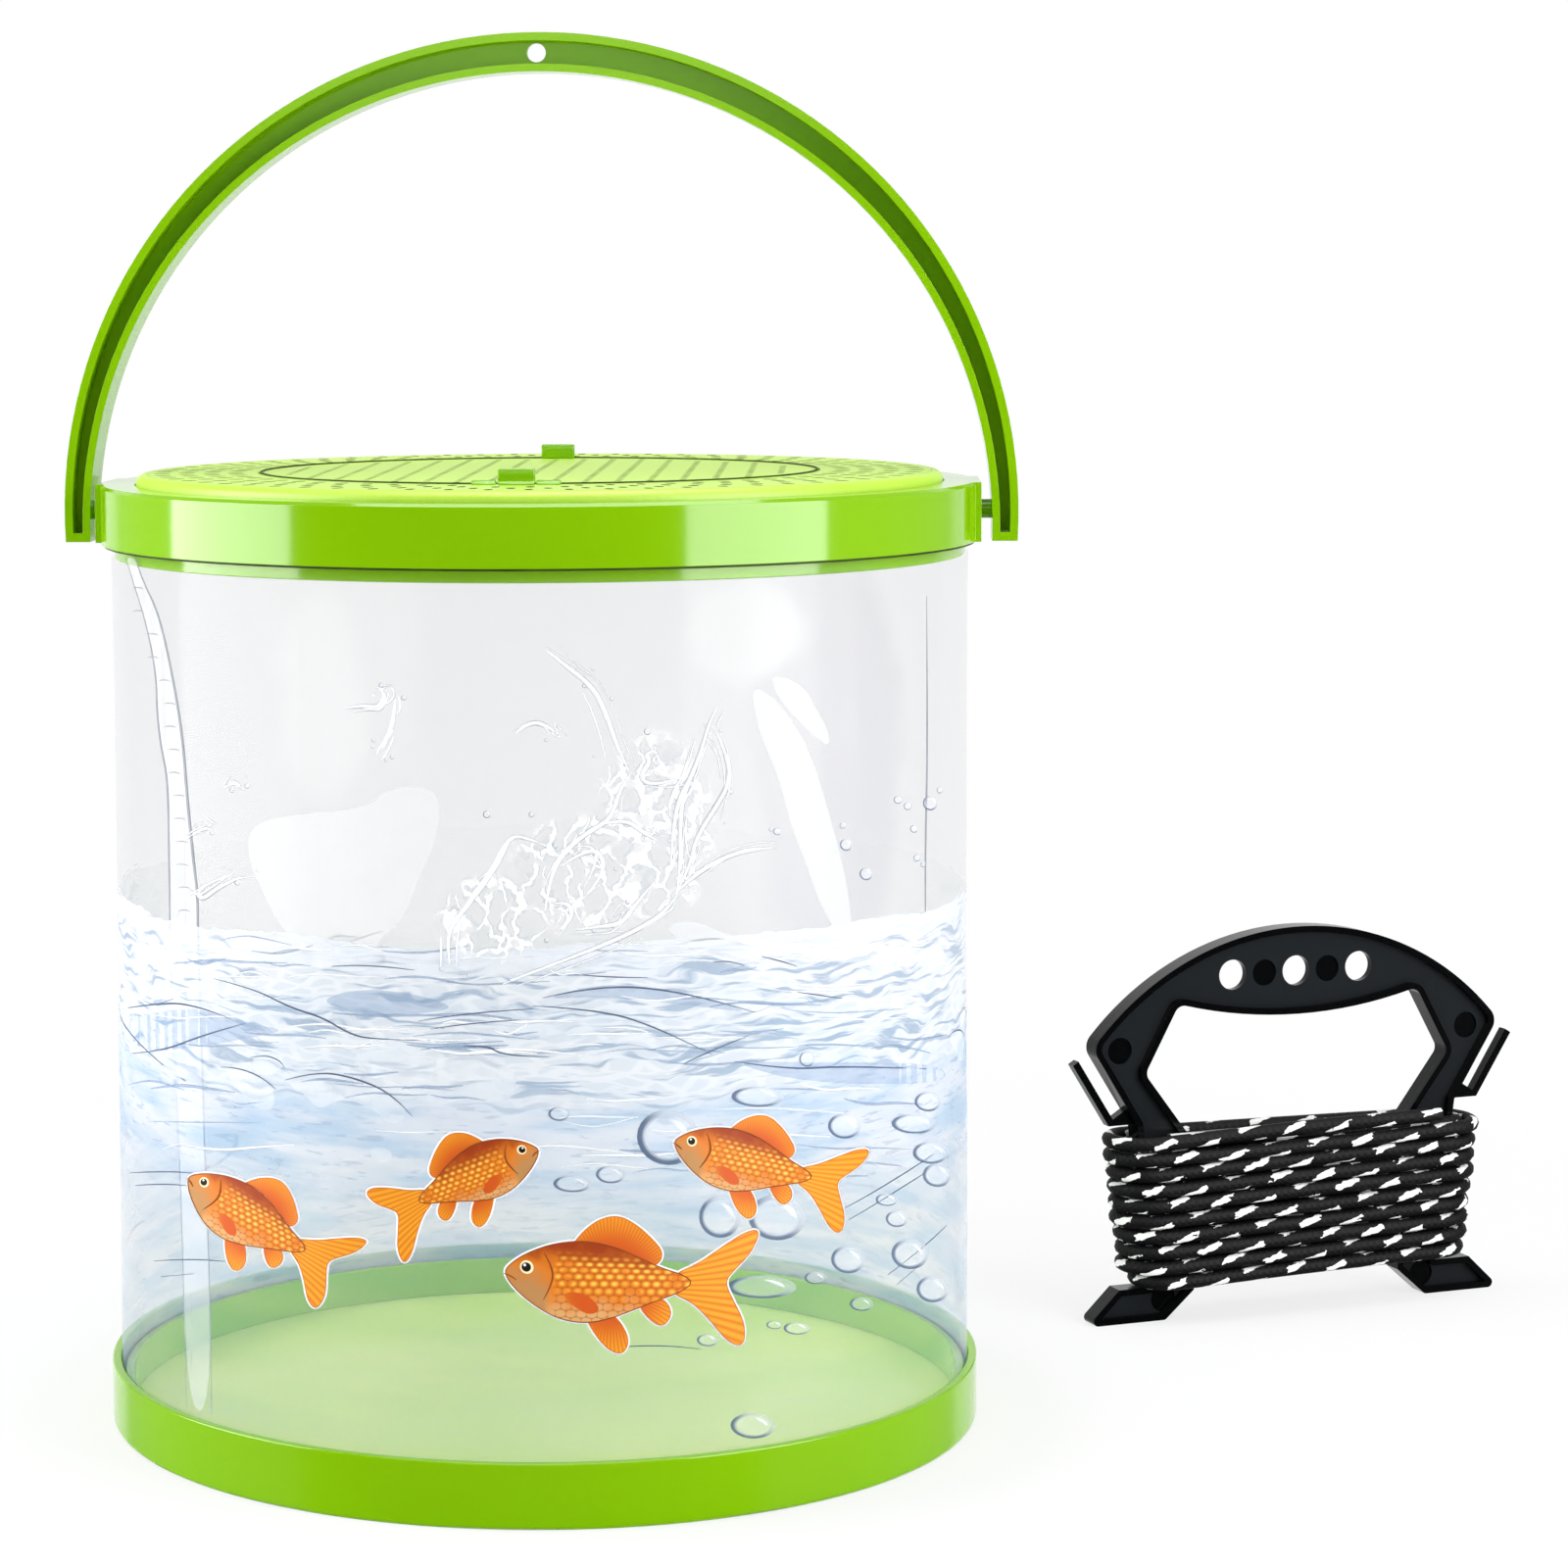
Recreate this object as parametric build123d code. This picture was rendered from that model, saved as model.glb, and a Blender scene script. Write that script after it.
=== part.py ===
from build123d import *
import os
from math import cos, pi, radians, sin, sqrt

# Collapsible fish tank: a film bag between two hard rings, with a perforated lid, a hinged hatch
# and a bail, and beside it the line winder that it is lowered and lifted with.
# Millimetres. Z is up from the floor, the tank's axis is Z, and the bail turns about X.

# Hard rings
ring_radius = 150.0
ring_wall = 3.0
tank_height = 322.5        # floor to the top ring's upper face
band_height = 20.0
tray_height = 21.5
tray_floor = 3.0
ring_chamfer = 1.0

# Film bag and its clamp rings
film_thickness = 0.8
film_clearance = 0.4       # between the film and the ring round it
film_headroom = 0.3        # between the film's upper edge and the ledge over it
seam_width = 12.0
seam_lap = 0.7
seam_angle = 208.0
seam_end_gap = 1.5
clamp_clearance = 0.3
clamp_wall = 2.8
base_clamp_height = 13.0
top_clamp_height = 19.5

# Lid, seated in a recess of the top ring
rim_width = 11.6           # top ring's rim, from the recess to its outside
lid_clearance = 0.4
lid_stand = 3.4            # the lid's upper face stands this far above the top ring
lid_plate = 2.2
lid_edge = 1.1             # chamfer round the lid
lid_skirt_wall = 1.8
lid_recess = 2.5
ledge_thickness = 2.5
ledge_width = 8.5

# Hatch, seated on a rebate of the lid
lid_border = 41.7          # lid outward from the hatch's opening
hatch_clearance = 0.5
rebate_overlap = 3.3
rebate_thickness = 1.6
rebate_root = 3.0

# Perforation
hole_side = 3.2
lid_hole_rows = 3
lid_holes_per_row = 36
lid_first_row = 9.5        # first row of holes, outward from the hatch
lid_row_pitch = 10.0
hatch_hole_rings = 4
hatch_ring_pitch = 19.5
hatch_holes_per_step = 6   # each ring of holes has this many more than the one inside it

# Hatch hinge and finger tabs
pin_radius = 1.0
pin_clearance = 0.05
pin_setback = 2.4          # hinge axis, outward from the hatch's edge
pin_depth = 0.9            # hinge axis below the lid's upper face, so that the hatch clears the lid
barrel_radius = 2.4
barrel_width = 12.0
barrel_side_gap = 0.4
barrel_swing_gap = 1.1
lug_width = 8.0
lug_depth = 2.5            # lug below the lid's upper face, under the hinge axis
lug_reach = 3.0            # lug outward from the hinge axis
lug_inset = 1.6            # lug inward from the hinge axis
tab_width = 12.0
tab_height = 5.2
tab_thickness = 3.4
tab_inset = 1.4

# Bail and its pivots
pivot_drop = 10.0          # pivot below the top ring's upper face
bail_side_gap = 4.0        # between a pad of the top ring and the bail's leg
bail_leg_width = 8.9       # at the pivot
bail_rise = 149.0          # inner arc above the pivot
bail_crown_width = 13.2
bail_depth = 19.0
bail_web = 3.0
bail_outer_flange = 2.8
bail_inner_flange = 2.6
bail_drop = 10.5           # leg below the pivot
bail_end_wall = 3.0
cord_hole_radius = 3.2
pad_stand = 0.4            # pad's face outside the ring's outermost point
pad_width = 44.0
peg_radius = 3.25
peg_clearance = 0.08
peg_end_gap = 0.2          # between the peg's end and the film behind the bore

# Line winder, drawn upright in its own plane and then turned to its place beside the tank
winder_x = 274.0
winder_y = 152.0
winder_yaw = 24.0
winder_depth = 8.0
winder_web = 2.8
winder_rim = 2.4
foot_tip = 89.0
foot_heel = 56.0
foot_instep = 44.0
foot_top = 75.4
instep_height = 10.5
body_bottom = 14.5
ledge_height = 13.0        # the rope's lowest turn lies on this ledge
waist_low = 60.5           # half width at the ledge
waist_high = 68.2          # half width at the root of the prongs
waist_top = 75.0
shoulder_half_width = 87.0
shoulder_height = 105.0
grip_top = 146.0
hand_hole_top = 112.6
hand_hole_top_end = 119.5
hand_hole_top_half = 51.0
hand_hole_half_width = 65.0
hand_hole_widest = 94.0
hand_hole_bottom = 69.0
hand_hole_bottom_half = 46.0
outline_round = 2.0
shoulder_round = 6.0
hand_hole_round = 4.0
grip_hole_radius = 5.7
grip_hole_pitch = 27.0
grip_hole_height = 128.8
mark_radius = 5.0
mark_depth = 0.7
shoulder_mark = (74.3, 103.0)
foot_mark = (55.7, 7.6)
slot_width = 6.5
slot_root = 7.0            # closed end of the slot, measured up the frame's side
prong_width = 2.8
prong_depth = 4.0
prong_length = 34.0

# Rope on the winder: inner turns as one core, outer turns as one tube
rope_diameter = 5.4
rope_gap = 0.5             # between neighbouring turns
rope_clearance = 0.25
rope_turns = 9
rope_sides = 4

# Places worked out from the sizes above
ring_inner = ring_radius - ring_wall
film_radius = ring_inner - film_clearance
film_inner = film_radius - film_thickness
clamp_radius = film_inner - clamp_clearance
clamp_inner = clamp_radius - clamp_wall
film_floor_top = tray_floor + film_thickness
band_bottom = tank_height - band_height
lid_pocket = ring_radius - rim_width
lid_radius = lid_pocket - lid_clearance
lid_seat = tank_height - lid_recess
ledge_under = lid_seat - ledge_thickness
ledge_inner = lid_pocket - ledge_width
film_top = ledge_under - film_headroom
clamp_top = ledge_under - clamp_clearance
clamp_bottom = clamp_top - top_clamp_height
lid_top = tank_height + lid_stand
lid_under = lid_top - lid_plate
hatch_opening = lid_radius - lid_border
hatch_radius = hatch_opening - hatch_clearance
rebate_inner = hatch_radius - rebate_overlap
rebate_outer = hatch_opening + rebate_root
rebate_under = lid_under - rebate_thickness
hinge_y = -(hatch_radius + pin_setback)
hinge_z = lid_top - pin_depth
pivot_height = tank_height - pivot_drop
pad_face = ring_radius + pad_stand
bail_inner_half_span = pad_face + bail_side_gap
bail_half_span = bail_inner_half_span + bail_leg_width
bail_crown = bail_rise + bail_crown_width


def turned(*points):
    """A solid of revolution about Z from its (radius, height) outline."""
    outline = Polyline(*[(r, 0, z) for r, z in points], close=True)
    return revolve(make_face(outline), Axis.Z)


def base_tray():
    return turned(
        (0, 0),
        (ring_radius - ring_chamfer, 0),
        (ring_radius, ring_chamfer),
        (ring_radius, tray_height),
        (ring_inner, tray_height),
        (ring_inner, tray_floor),
        (0, tray_floor),
    )


def film_floor():
    return Pos(0, 0, tray_floor) * extrude(Circle(film_radius), film_thickness)


def film_wall():
    height = film_top - film_floor_top
    tube = extrude(Circle(film_radius) - Circle(film_inner), height)
    seam_low = tray_height + seam_end_gap - film_floor_top
    seam_high = band_bottom - seam_end_gap - film_floor_top
    strip = Circle(film_radius + seam_lap) - Circle(film_radius - film_thickness / 2)
    lane = Rot(0, 0, seam_angle) * Pos(film_radius, 0) * Rectangle(seam_width, seam_width)
    seam = Pos(0, 0, seam_low) * extrude(strip & lane, seam_high - seam_low)
    return Pos(0, 0, film_floor_top) * (tube + seam)


def base_clamp_ring():
    ring = Circle(clamp_radius) - Circle(clamp_inner)
    return Pos(0, 0, film_floor_top) * extrude(ring, base_clamp_height)


def top_clamp_ring():
    ring = Circle(clamp_radius) - Circle(clamp_inner)
    return Pos(0, 0, clamp_bottom) * extrude(ring, top_clamp_height)


def top_ring():
    ring = turned(
        (ring_inner, band_bottom),
        (ring_radius, band_bottom),
        (ring_radius, tank_height - ring_chamfer),
        (ring_radius - ring_chamfer, tank_height),
        (lid_pocket, tank_height),
        (lid_pocket, lid_seat),
        (ledge_inner, lid_seat),
        (ledge_inner, ledge_under),
        (ring_inner, ledge_under),
    )
    pad_root = ring_radius - ring_wall / 2
    round_root = Circle(2 * ring_radius) - Circle(pad_root)
    for side in (-1, 1):
        middle = side * pad_face / 2
        pad = Pos(middle, 0) * Rectangle(pad_face, pad_width) & round_root
        ring += Pos(0, 0, band_bottom) * extrude(pad, band_height)
        ring -= peg_cylinder(side, peg_radius + peg_clearance, ring_inner / 2, pad_face + ring_wall)
    return ring


def peg_cylinder(side, radius, inner_x, outer_x):
    """A cylinder about the bail's axis from one |x| to another, on the given side."""
    middle = side * (inner_x + outer_x) / 2
    return Pos(middle, 0, pivot_height) * Rot(0, 90, 0) * Cylinder(radius, outer_x - inner_x)


def square_holes(places, low, high):
    """Square perforations at (radius, angle) places, as one tool from low to high."""
    squares = Sketch()
    for radius, angle in places:
        squares += Rot(0, 0, angle) * Pos(radius, 0) * Rectangle(hole_side, hole_side)
    return Pos(0, 0, low) * extrude(squares, high - low)


def lid_hole_places():
    step = 360 / lid_holes_per_row
    keep_out = hinge_half_width() + hole_side
    for row in range(lid_hole_rows):
        radius = hatch_opening + lid_first_row + row * lid_row_pitch
        for i in range(lid_holes_per_row):
            angle = (i + row % 2 / 2) * step
            x, y = radius * cos(radians(angle)), radius * sin(radians(angle))
            near_hinge = y < 0 and abs(x) < keep_out and -y < -hinge_y + lug_reach + hole_side
            if not near_hinge:
                yield radius, angle


def hatch_hole_places():
    yield 0, 0
    for ring in range(1, hatch_hole_rings + 1):
        count = ring * hatch_holes_per_step
        for i in range(count):
            yield ring * hatch_ring_pitch, (i + ring % 2 / 2) * 360 / count


def hinge_half_width():
    return barrel_width / 2 + barrel_side_gap + lug_width


def hinge_cylinder(radius, width):
    return Pos(0, hinge_y, hinge_z) * Rot(0, 90, 0) * Cylinder(radius, width)


def lid():
    plate = turned(
        (hatch_opening, lid_under),
        (hatch_opening, lid_top),
        (lid_radius - lid_edge, lid_top),
        (lid_radius, lid_top - lid_edge),
        (lid_radius, lid_seat),
        (lid_radius - lid_skirt_wall, lid_seat),
        (lid_radius - lid_skirt_wall, lid_under),
        (rebate_outer, lid_under),
        (rebate_outer, rebate_under),
        (rebate_inner, rebate_under),
        (rebate_inner, lid_under),
    )
    plate -= square_holes(lid_hole_places(), lid_seat, lid_top + lid_plate)
    lug_height = lid_plate + lug_depth
    lug_length = lug_reach + lug_inset
    lug_y = hinge_y + (lug_inset - lug_reach) / 2
    lugs = Pos(0, lug_y, lid_top - lug_height / 2) * Box(2 * hinge_half_width(), lug_length, lug_height)
    plate += lugs + hinge_cylinder(barrel_radius, 2 * hinge_half_width())
    swing = barrel_radius + barrel_swing_gap
    notch_length = swing + pin_setback + hatch_clearance + rebate_overlap / 2
    notch_y = hinge_y - swing + notch_length / 2
    notch_width = barrel_width + 2 * barrel_side_gap
    plate -= Pos(0, notch_y, lid_under) * Box(notch_width, notch_length, 4 * lug_height)
    plate -= hinge_cylinder(pin_radius + pin_clearance, 4 * hinge_half_width())
    return plate


def hatch():
    disc = Pos(0, 0, lid_under) * extrude(Circle(hatch_radius), lid_plate)
    disc -= square_holes(hatch_hole_places(), lid_under - lid_plate, lid_top + lid_plate)
    neck_length = pin_setback + tab_inset
    neck_y = hinge_y + neck_length / 2
    neck = Pos(0, neck_y, lid_under + lid_plate / 2) * Box(barrel_width, neck_length, lid_plate)
    # the barrel's block leans back over the hatch, so that it clears the lid as the hatch opens
    block_y = hinge_y + tab_thickness / 2 - pin_radius / 2
    block = Pos(0, block_y, lid_top + tab_height / 2) * Box(tab_width, tab_thickness, tab_height)
    bridge = Pos(0, block_y, lid_top) * Box(barrel_width, tab_thickness, lid_plate)
    finger_y = hatch_radius - tab_inset - tab_thickness / 2
    finger = Pos(0, finger_y, lid_top + tab_height / 2) * Box(tab_width, tab_thickness, tab_height)
    flap = disc + neck + hinge_cylinder(barrel_radius, barrel_width) + bridge + block + finger
    return flap - hinge_cylinder(pin_radius + pin_clearance, 2 * barrel_width)


def hatch_pin():
    return hinge_cylinder(pin_radius, 2 * hinge_half_width() - lid_plate)


def bail_arch(outer_inset, inner_inset, low):
    """The bail's arch, inset from both arcs and cut off level below low, relative to the pivot."""
    outer_sink = (bail_half_span**2 - bail_crown**2) / (2 * bail_crown)
    inner_sink = (bail_inner_half_span**2 - bail_rise**2) / (2 * bail_rise)
    outer = Pos(0, -outer_sink) * Circle(bail_crown + outer_sink - outer_inset)
    inner = Pos(0, -inner_sink) * Circle(bail_rise + inner_sink + inner_inset)
    reach = 4 * bail_crown
    above = Pos(0, low + reach / 2) * Rectangle(reach, reach)
    return (outer - inner) & above


def bail():
    body = extrude(Plane.XZ * bail_arch(0, 0, -bail_drop), bail_depth / 2, both=True)
    channel = bail_arch(bail_outer_flange, bail_inner_flange, bail_end_wall - bail_drop)
    channels = extrude(Plane.XZ * channel, bail_depth, both=True)
    body -= channels - Box(4 * bail_crown, bail_web, 4 * bail_crown)
    body = Pos(0, 0, pivot_height) * body
    hole_z = pivot_height + (bail_crown + bail_rise) / 2
    body -= Pos(0, 0, hole_z) * Rot(90, 0, 0) * Cylinder(cord_hole_radius, bail_depth)
    for side in (-1, 1):
        body += peg_cylinder(side, peg_radius, film_radius + peg_end_gap + film_clearance,
                             bail_inner_half_span + bail_inner_flange / 2)
    return body


def beside_tank(shape):
    """Turns a shape of the winder's own plane to the place where the winder stands."""
    return Pos(winder_x, winder_y, 0) * Rot(0, 0, winder_yaw) * shape


def rounded(face, radius, corners):
    """Rounds the face's corners that lie at the given points, on both sides."""
    def at_corner(v):
        return any(abs(abs(v.X) - x) < 0.01 and abs(v.Y - z) < 0.01 for x, z in corners)

    return fillet([v for v in face.vertices() if at_corner(v)], radius)


def mirrored_path(right):
    """An open path over the right half's points and back down over their mirror images."""
    return Polyline(*right, *[(-x, z) for x, z in reversed(right)])


def winder_outline():
    shoulder = (shoulder_half_width, shoulder_height)
    lower = mirrored_path([
        shoulder,
        (waist_high, waist_top),
        (waist_low, ledge_height),
        (foot_top, ledge_height),
        (foot_tip, 0),
        (foot_heel, 0),
        (foot_instep, instep_height),
        (foot_instep, body_bottom),
    ])
    crown = ThreePointArc(lower @ 1, (0, grip_top), lower @ 0)
    outline = rounded(make_face([lower, crown]), outline_round, [(foot_tip, 0), (foot_heel, 0)])
    return rounded(outline, shoulder_round, [shoulder])


def hand_hole():
    corners = [
        (hand_hole_top_half, hand_hole_top_end),
        (hand_hole_half_width, hand_hole_widest),
        (hand_hole_bottom_half, hand_hole_bottom),
    ]
    lower = mirrored_path(corners)
    upper = ThreePointArc(lower @ 1, (0, hand_hole_top), lower @ 0)
    return rounded(make_face([lower, upper]), hand_hole_round, corners)


def winder_frame():
    outline, hand = winder_outline(), hand_hole()
    body = extrude(Plane.XZ * (outline - hand), winder_depth / 2, both=True)
    pocket = offset(outline, -winder_rim) - offset(hand, winder_rim)
    pockets = extrude(Plane.XZ * pocket, winder_depth, both=True)
    body -= pockets - Box(4 * foot_tip, winder_web, 4 * grip_top)
    for i in (-1, 0, 1):
        body -= across(i * grip_hole_pitch, grip_hole_height, grip_hole_radius, 0, winder_depth)
    mark_level = (winder_web - mark_depth) / 2
    for side in (-1, 1):
        marks = [(side * grip_hole_pitch / 2, grip_hole_height)]
        marks += [(side * x, z) for x, z in (shoulder_mark, foot_mark)]
        for x, z in marks:
            body -= across(x, z, mark_radius, -mark_level, mark_depth)
        body += prong(side)
    return beside_tank(body)


def across(x, z, radius, y, length):
    """A cylinder through the winder's plane, centred at y."""
    return Pos(x, y, z) * Rot(90, 0, 0) * Cylinder(radius, length)


def prong(side):
    """The springy finger beside the frame, with the slot that nips the rope's end."""
    run = shoulder_half_width - waist_high
    rise = shoulder_height - waist_top
    length = sqrt(run**2 + rise**2)

    def place(along, off):
        x = waist_high + (along * run + off * rise) / length
        z = waist_top + (along * rise - off * run) / length
        return (side * x, z)

    outer = slot_width + prong_width
    level = outer * run / rise
    finger = make_face(Polyline(
        place(0, -winder_rim / 2),
        place(slot_root, -winder_rim / 2),
        place(slot_root, slot_width),
        place(prong_length, slot_width),
        place(prong_length, outer),
        place(level, outer),
        place(0, 0),
        close=True,
    ))
    return extrude(Plane.XZ * finger, prong_depth / 2, both=True)


def rope_pitch():
    return rope_diameter + rope_gap


def rope_bottom():
    return ledge_height + rope_clearance


def rope_layer_depth(layer):
    """From the middle of the winder's depth to the centre line of a layer of turns."""
    return winder_depth / 2 + (layer + 1) * rope_clearance + (layer + 0.5) * rope_diameter


def rope_end_centre(z):
    """Half the straight run of the turns at a height; the winder's waist widens upward."""
    lean = (waist_high - waist_low) / (waist_top - ledge_height)
    waist = waist_low + lean * (z - ledge_height)
    return waist - winder_depth / 2


def rope_core():
    """The inner turns, as one closed solid round the winder's waist."""
    low = rope_bottom() + rope_gap
    high = rope_bottom() + rope_pitch() * rope_turns + rope_diameter / 2
    half_depth = rope_layer_depth(0) + rope_diameter / 2
    levels = []
    for z in (low, high):
        half_run = rope_end_centre(z)
        slot = SlotOverall(2 * (half_run + half_depth), 2 * half_depth)
        inner = Rectangle(2 * (half_run + winder_depth / 2 + rope_clearance), winder_depth + 2 * rope_clearance)
        levels.append((Pos(0, 0, z) * slot, Pos(0, 0, z) * inner))
    outside = loft([slot for slot, inner in levels], ruled=True)
    inside = loft([inner for slot, inner in levels], ruled=True)
    return beside_tank(outside - inside)


def rope_path():
    """One unbroken climbing line: straight runs front and back, and half turns as pairs of arcs."""
    radius = rope_layer_depth(1)
    z = rope_bottom() + rope_diameter / 2
    spot = Vector(-rope_end_centre(z + rope_diameter / 2), -radius, z)
    halves = 2 * rope_turns + 1
    edges = []
    for half in range(halves):
        side = 1 if half % 2 == 0 else -1
        half_run = rope_end_centre(spot.Z + rope_diameter / 2)
        climb = rope_pitch() / (4 * half_run + 2 * pi * radius)
        run = abs(side * half_run - spot.X)
        run_end = Vector(side * half_run, spot.Y, spot.Z + climb * run)
        leaving = Vector(side, 0, climb).normalized()
        if edges:
            edges += half_turn(turn_start, turn_leaving, spot, leaving)
        edges.append(Line(spot, run_end))
        turn_start, turn_leaving = run_end, leaving
        spot = Vector(run_end.X, -run_end.Y, run_end.Z + climb * pi * radius)
    return Wire(edges)


def half_turn(start, leaving, end, arriving):
    """Two arcs, tangent to each other, from start to end with the given directions there."""
    span = end - start
    a = 2 * (1 - leaving.dot(arriving))
    b = 2 * span.dot(leaving + arriving)
    c = -span.dot(span)
    reach = (-b + sqrt(b * b - 4 * a * c)) / (2 * a)
    middle = (start + end + (leaving - arriving) * reach) * 0.5
    first = TangentArc(start, middle, tangent=leaving)
    return [first, TangentArc(middle, end, tangent=first % 1)]


def rope_winding():
    path = rope_path()
    section = Plane(path @ 0, z_dir=path % 0) * RegularPolygon(rope_diameter / 2, rope_sides)
    print("least gap between turns", round(least_gap(path), 2), "mm, length", round(path.length), "mm")
    return beside_tank(sweep(section, path))


def least_gap(path):
    """The least distance between points of different turns, less the rope's diameter."""
    count = 40 * rope_turns
    points = [path @ (i / count) for i in range(count + 1)]
    apart = count // (2 * rope_turns)
    distances = [
        (points[i] - points[j]).length
        for i in range(count + 1)
        for j in range(i + apart, count + 1)
    ]
    return min(distances) - rope_diameter


parts = {
    "base_tray": base_tray,
    "film_floor": film_floor,
    "film_wall": film_wall,
    "base_clamp_ring": base_clamp_ring,
    "top_ring": top_ring,
    "top_clamp_ring": top_clamp_ring,
    "lid": lid,
    "hatch": hatch,
    "hatch_pin": hatch_pin,
    "bail": bail,
    "winder_frame": winder_frame,
    "rope_core": rope_core,
    "rope_winding": rope_winding,
}

os.makedirs("parts", exist_ok=True)
for name, make in parts.items():
    export_step(make(), f"parts/{name}.step")
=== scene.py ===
import random
from math import atan2, cos, pi, radians, sin, sqrt

import bmesh
import bpy
from mathutils import Matrix, Vector


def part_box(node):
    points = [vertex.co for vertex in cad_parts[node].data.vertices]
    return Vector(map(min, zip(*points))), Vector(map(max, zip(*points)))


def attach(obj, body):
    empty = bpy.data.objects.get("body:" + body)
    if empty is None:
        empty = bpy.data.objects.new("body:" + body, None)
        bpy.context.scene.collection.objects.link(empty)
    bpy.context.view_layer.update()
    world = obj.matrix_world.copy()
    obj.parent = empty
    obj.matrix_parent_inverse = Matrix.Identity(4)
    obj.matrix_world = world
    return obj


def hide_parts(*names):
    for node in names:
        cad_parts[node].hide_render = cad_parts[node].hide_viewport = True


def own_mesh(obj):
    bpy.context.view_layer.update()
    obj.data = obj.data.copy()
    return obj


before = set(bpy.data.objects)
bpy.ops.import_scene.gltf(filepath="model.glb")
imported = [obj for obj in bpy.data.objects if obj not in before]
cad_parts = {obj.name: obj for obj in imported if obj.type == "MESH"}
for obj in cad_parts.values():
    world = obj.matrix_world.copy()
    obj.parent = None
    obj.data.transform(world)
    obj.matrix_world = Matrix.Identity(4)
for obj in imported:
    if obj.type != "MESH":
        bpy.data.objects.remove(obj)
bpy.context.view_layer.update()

# Camera. It stands a little above the lid, 1.4 m in front of the tank and somewhat to its right,
# and looks slightly down at the tank's axis. The lens shift puts the tank left in the picture, as
# in the photograph.
camera_place = Vector((0.10654, -1.41687, 0.39214))
camera_heading = radians(4.3)
camera_pitch = 0.08
camera_roll = 0.0062
level_right = Vector((cos(camera_heading), sin(camera_heading), 0))
ahead = Vector((
    -sin(camera_heading) * cos(camera_pitch),
    cos(camera_heading) * cos(camera_pitch),
    -sin(camera_pitch),
))
over = level_right.cross(ahead)
camera_right = cos(camera_roll) * level_right - sin(camera_roll) * over
camera_up = sin(camera_roll) * level_right + cos(camera_roll) * over
lens = bpy.data.cameras.new("camera")
lens.lens = 95.06
lens.sensor_width = 36
lens.shift_x = 0.1555
lens.shift_y = -0.1118
camera = bpy.data.objects.new("camera", lens)
bpy.context.scene.collection.objects.link(camera)
turn = Matrix((camera_right, camera_up, -ahead)).transposed().to_4x4()
camera.matrix_world = Matrix.Translation(camera_place) @ turn
bpy.context.scene.camera = camera

# Rope. A limp braided nylon cord, black with white tracer strands. It is wound on the winder's
# waist in two layers: the inner one down from the prongs to the ledge, the outer one up again.
# Both ends are tucked under the turns.
MM = 0.001
rope_diameter = 5.4 * MM
rope_gap = 0.5 * MM
rope_clearance = 0.25 * MM
inner_half_turns = 18
outer_half_turns = 19
winder_depth = 8 * MM
winder_place = Vector((274, 152, 0)) * MM
winder_turn = radians(24)
ledge_height = 13 * MM
waist_top = 75 * MM
half_waist_low = 60.5 * MM  # at the ledge
half_waist_high = 68.2 * MM
waist_lean = (half_waist_high - half_waist_low) / (waist_top - ledge_height)
points_per_run = 9
points_per_bend = 4
rope_slack = 0.8 * MM       # turns stray this far up and down, because they are wound by hand
rope_bulge = 1.5 * MM       # and the outer ones bulge this far
straight_share = 0.8        # of a half turn; the rest is its bend round the winder's side


def from_winder(point):
    """A point of the winder's upright plane, at its place beside the tank."""
    return winder_place + Matrix.Rotation(winder_turn, 3, "Z") @ Vector(point)


def wound_height(turned):
    """Height of the rope's middle after so many half turns, first down and then up."""
    above_ledge = abs(turned - inner_half_turns) * (rope_diameter + rope_gap) / 2
    return ledge_height + rope_clearance + rope_diameter / 2 + above_ledge


def half_run(z):
    """Half the straight length of a turn at a height, where the waist widens upward."""
    return half_waist_low + waist_lean * (z - ledge_height) - winder_depth / 2


def wound_depth(layer):
    """Distance from the winder's middle plane to the middle of a layer's rope."""
    return winder_depth / 2 + (layer + 1) * rope_clearance + (layer + 0.5) * rope_diameter


hand = random.Random(4)
turn_points = []
for half in range(inner_half_turns + outer_half_turns):
    side = 1 if half % 2 == 0 else -1
    layer = 0 if half < inner_half_turns else 1
    stray = hand.uniform(-rope_slack, rope_slack)
    bulge = hand.uniform(0, rope_bulge) if layer else 0.0
    for i in range(points_per_run):
        along = (i + 0.5) / points_per_run
        z = wound_height(half + straight_share * along)
        depth = wound_depth(layer) + bulge / 2 * sin(pi * along)
        across = side * half_run(z) * (2 * along - 1)
        turn_points.append((across, -side * depth, z + stray * sin(pi * along)))
    if half == inner_half_turns + outer_half_turns - 1:
        break
    for i in range(points_per_bend):
        along = (i + 0.5) / points_per_bend
        z = wound_height(half + straight_share + (1 - straight_share) * along)
        if half == inner_half_turns - 1:
            depth = wound_depth(0) + (wound_depth(1) - wound_depth(0)) * along
        else:
            depth = wound_depth(layer)
        reach = depth / cos(pi / points_per_bend / 2)
        angle = pi * (along - 0.5)
        across = half_run(z) + bulge * sin(pi * along) + reach * cos(angle)
        turn_points.append((side * across, side * reach * sin(angle), z))

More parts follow.
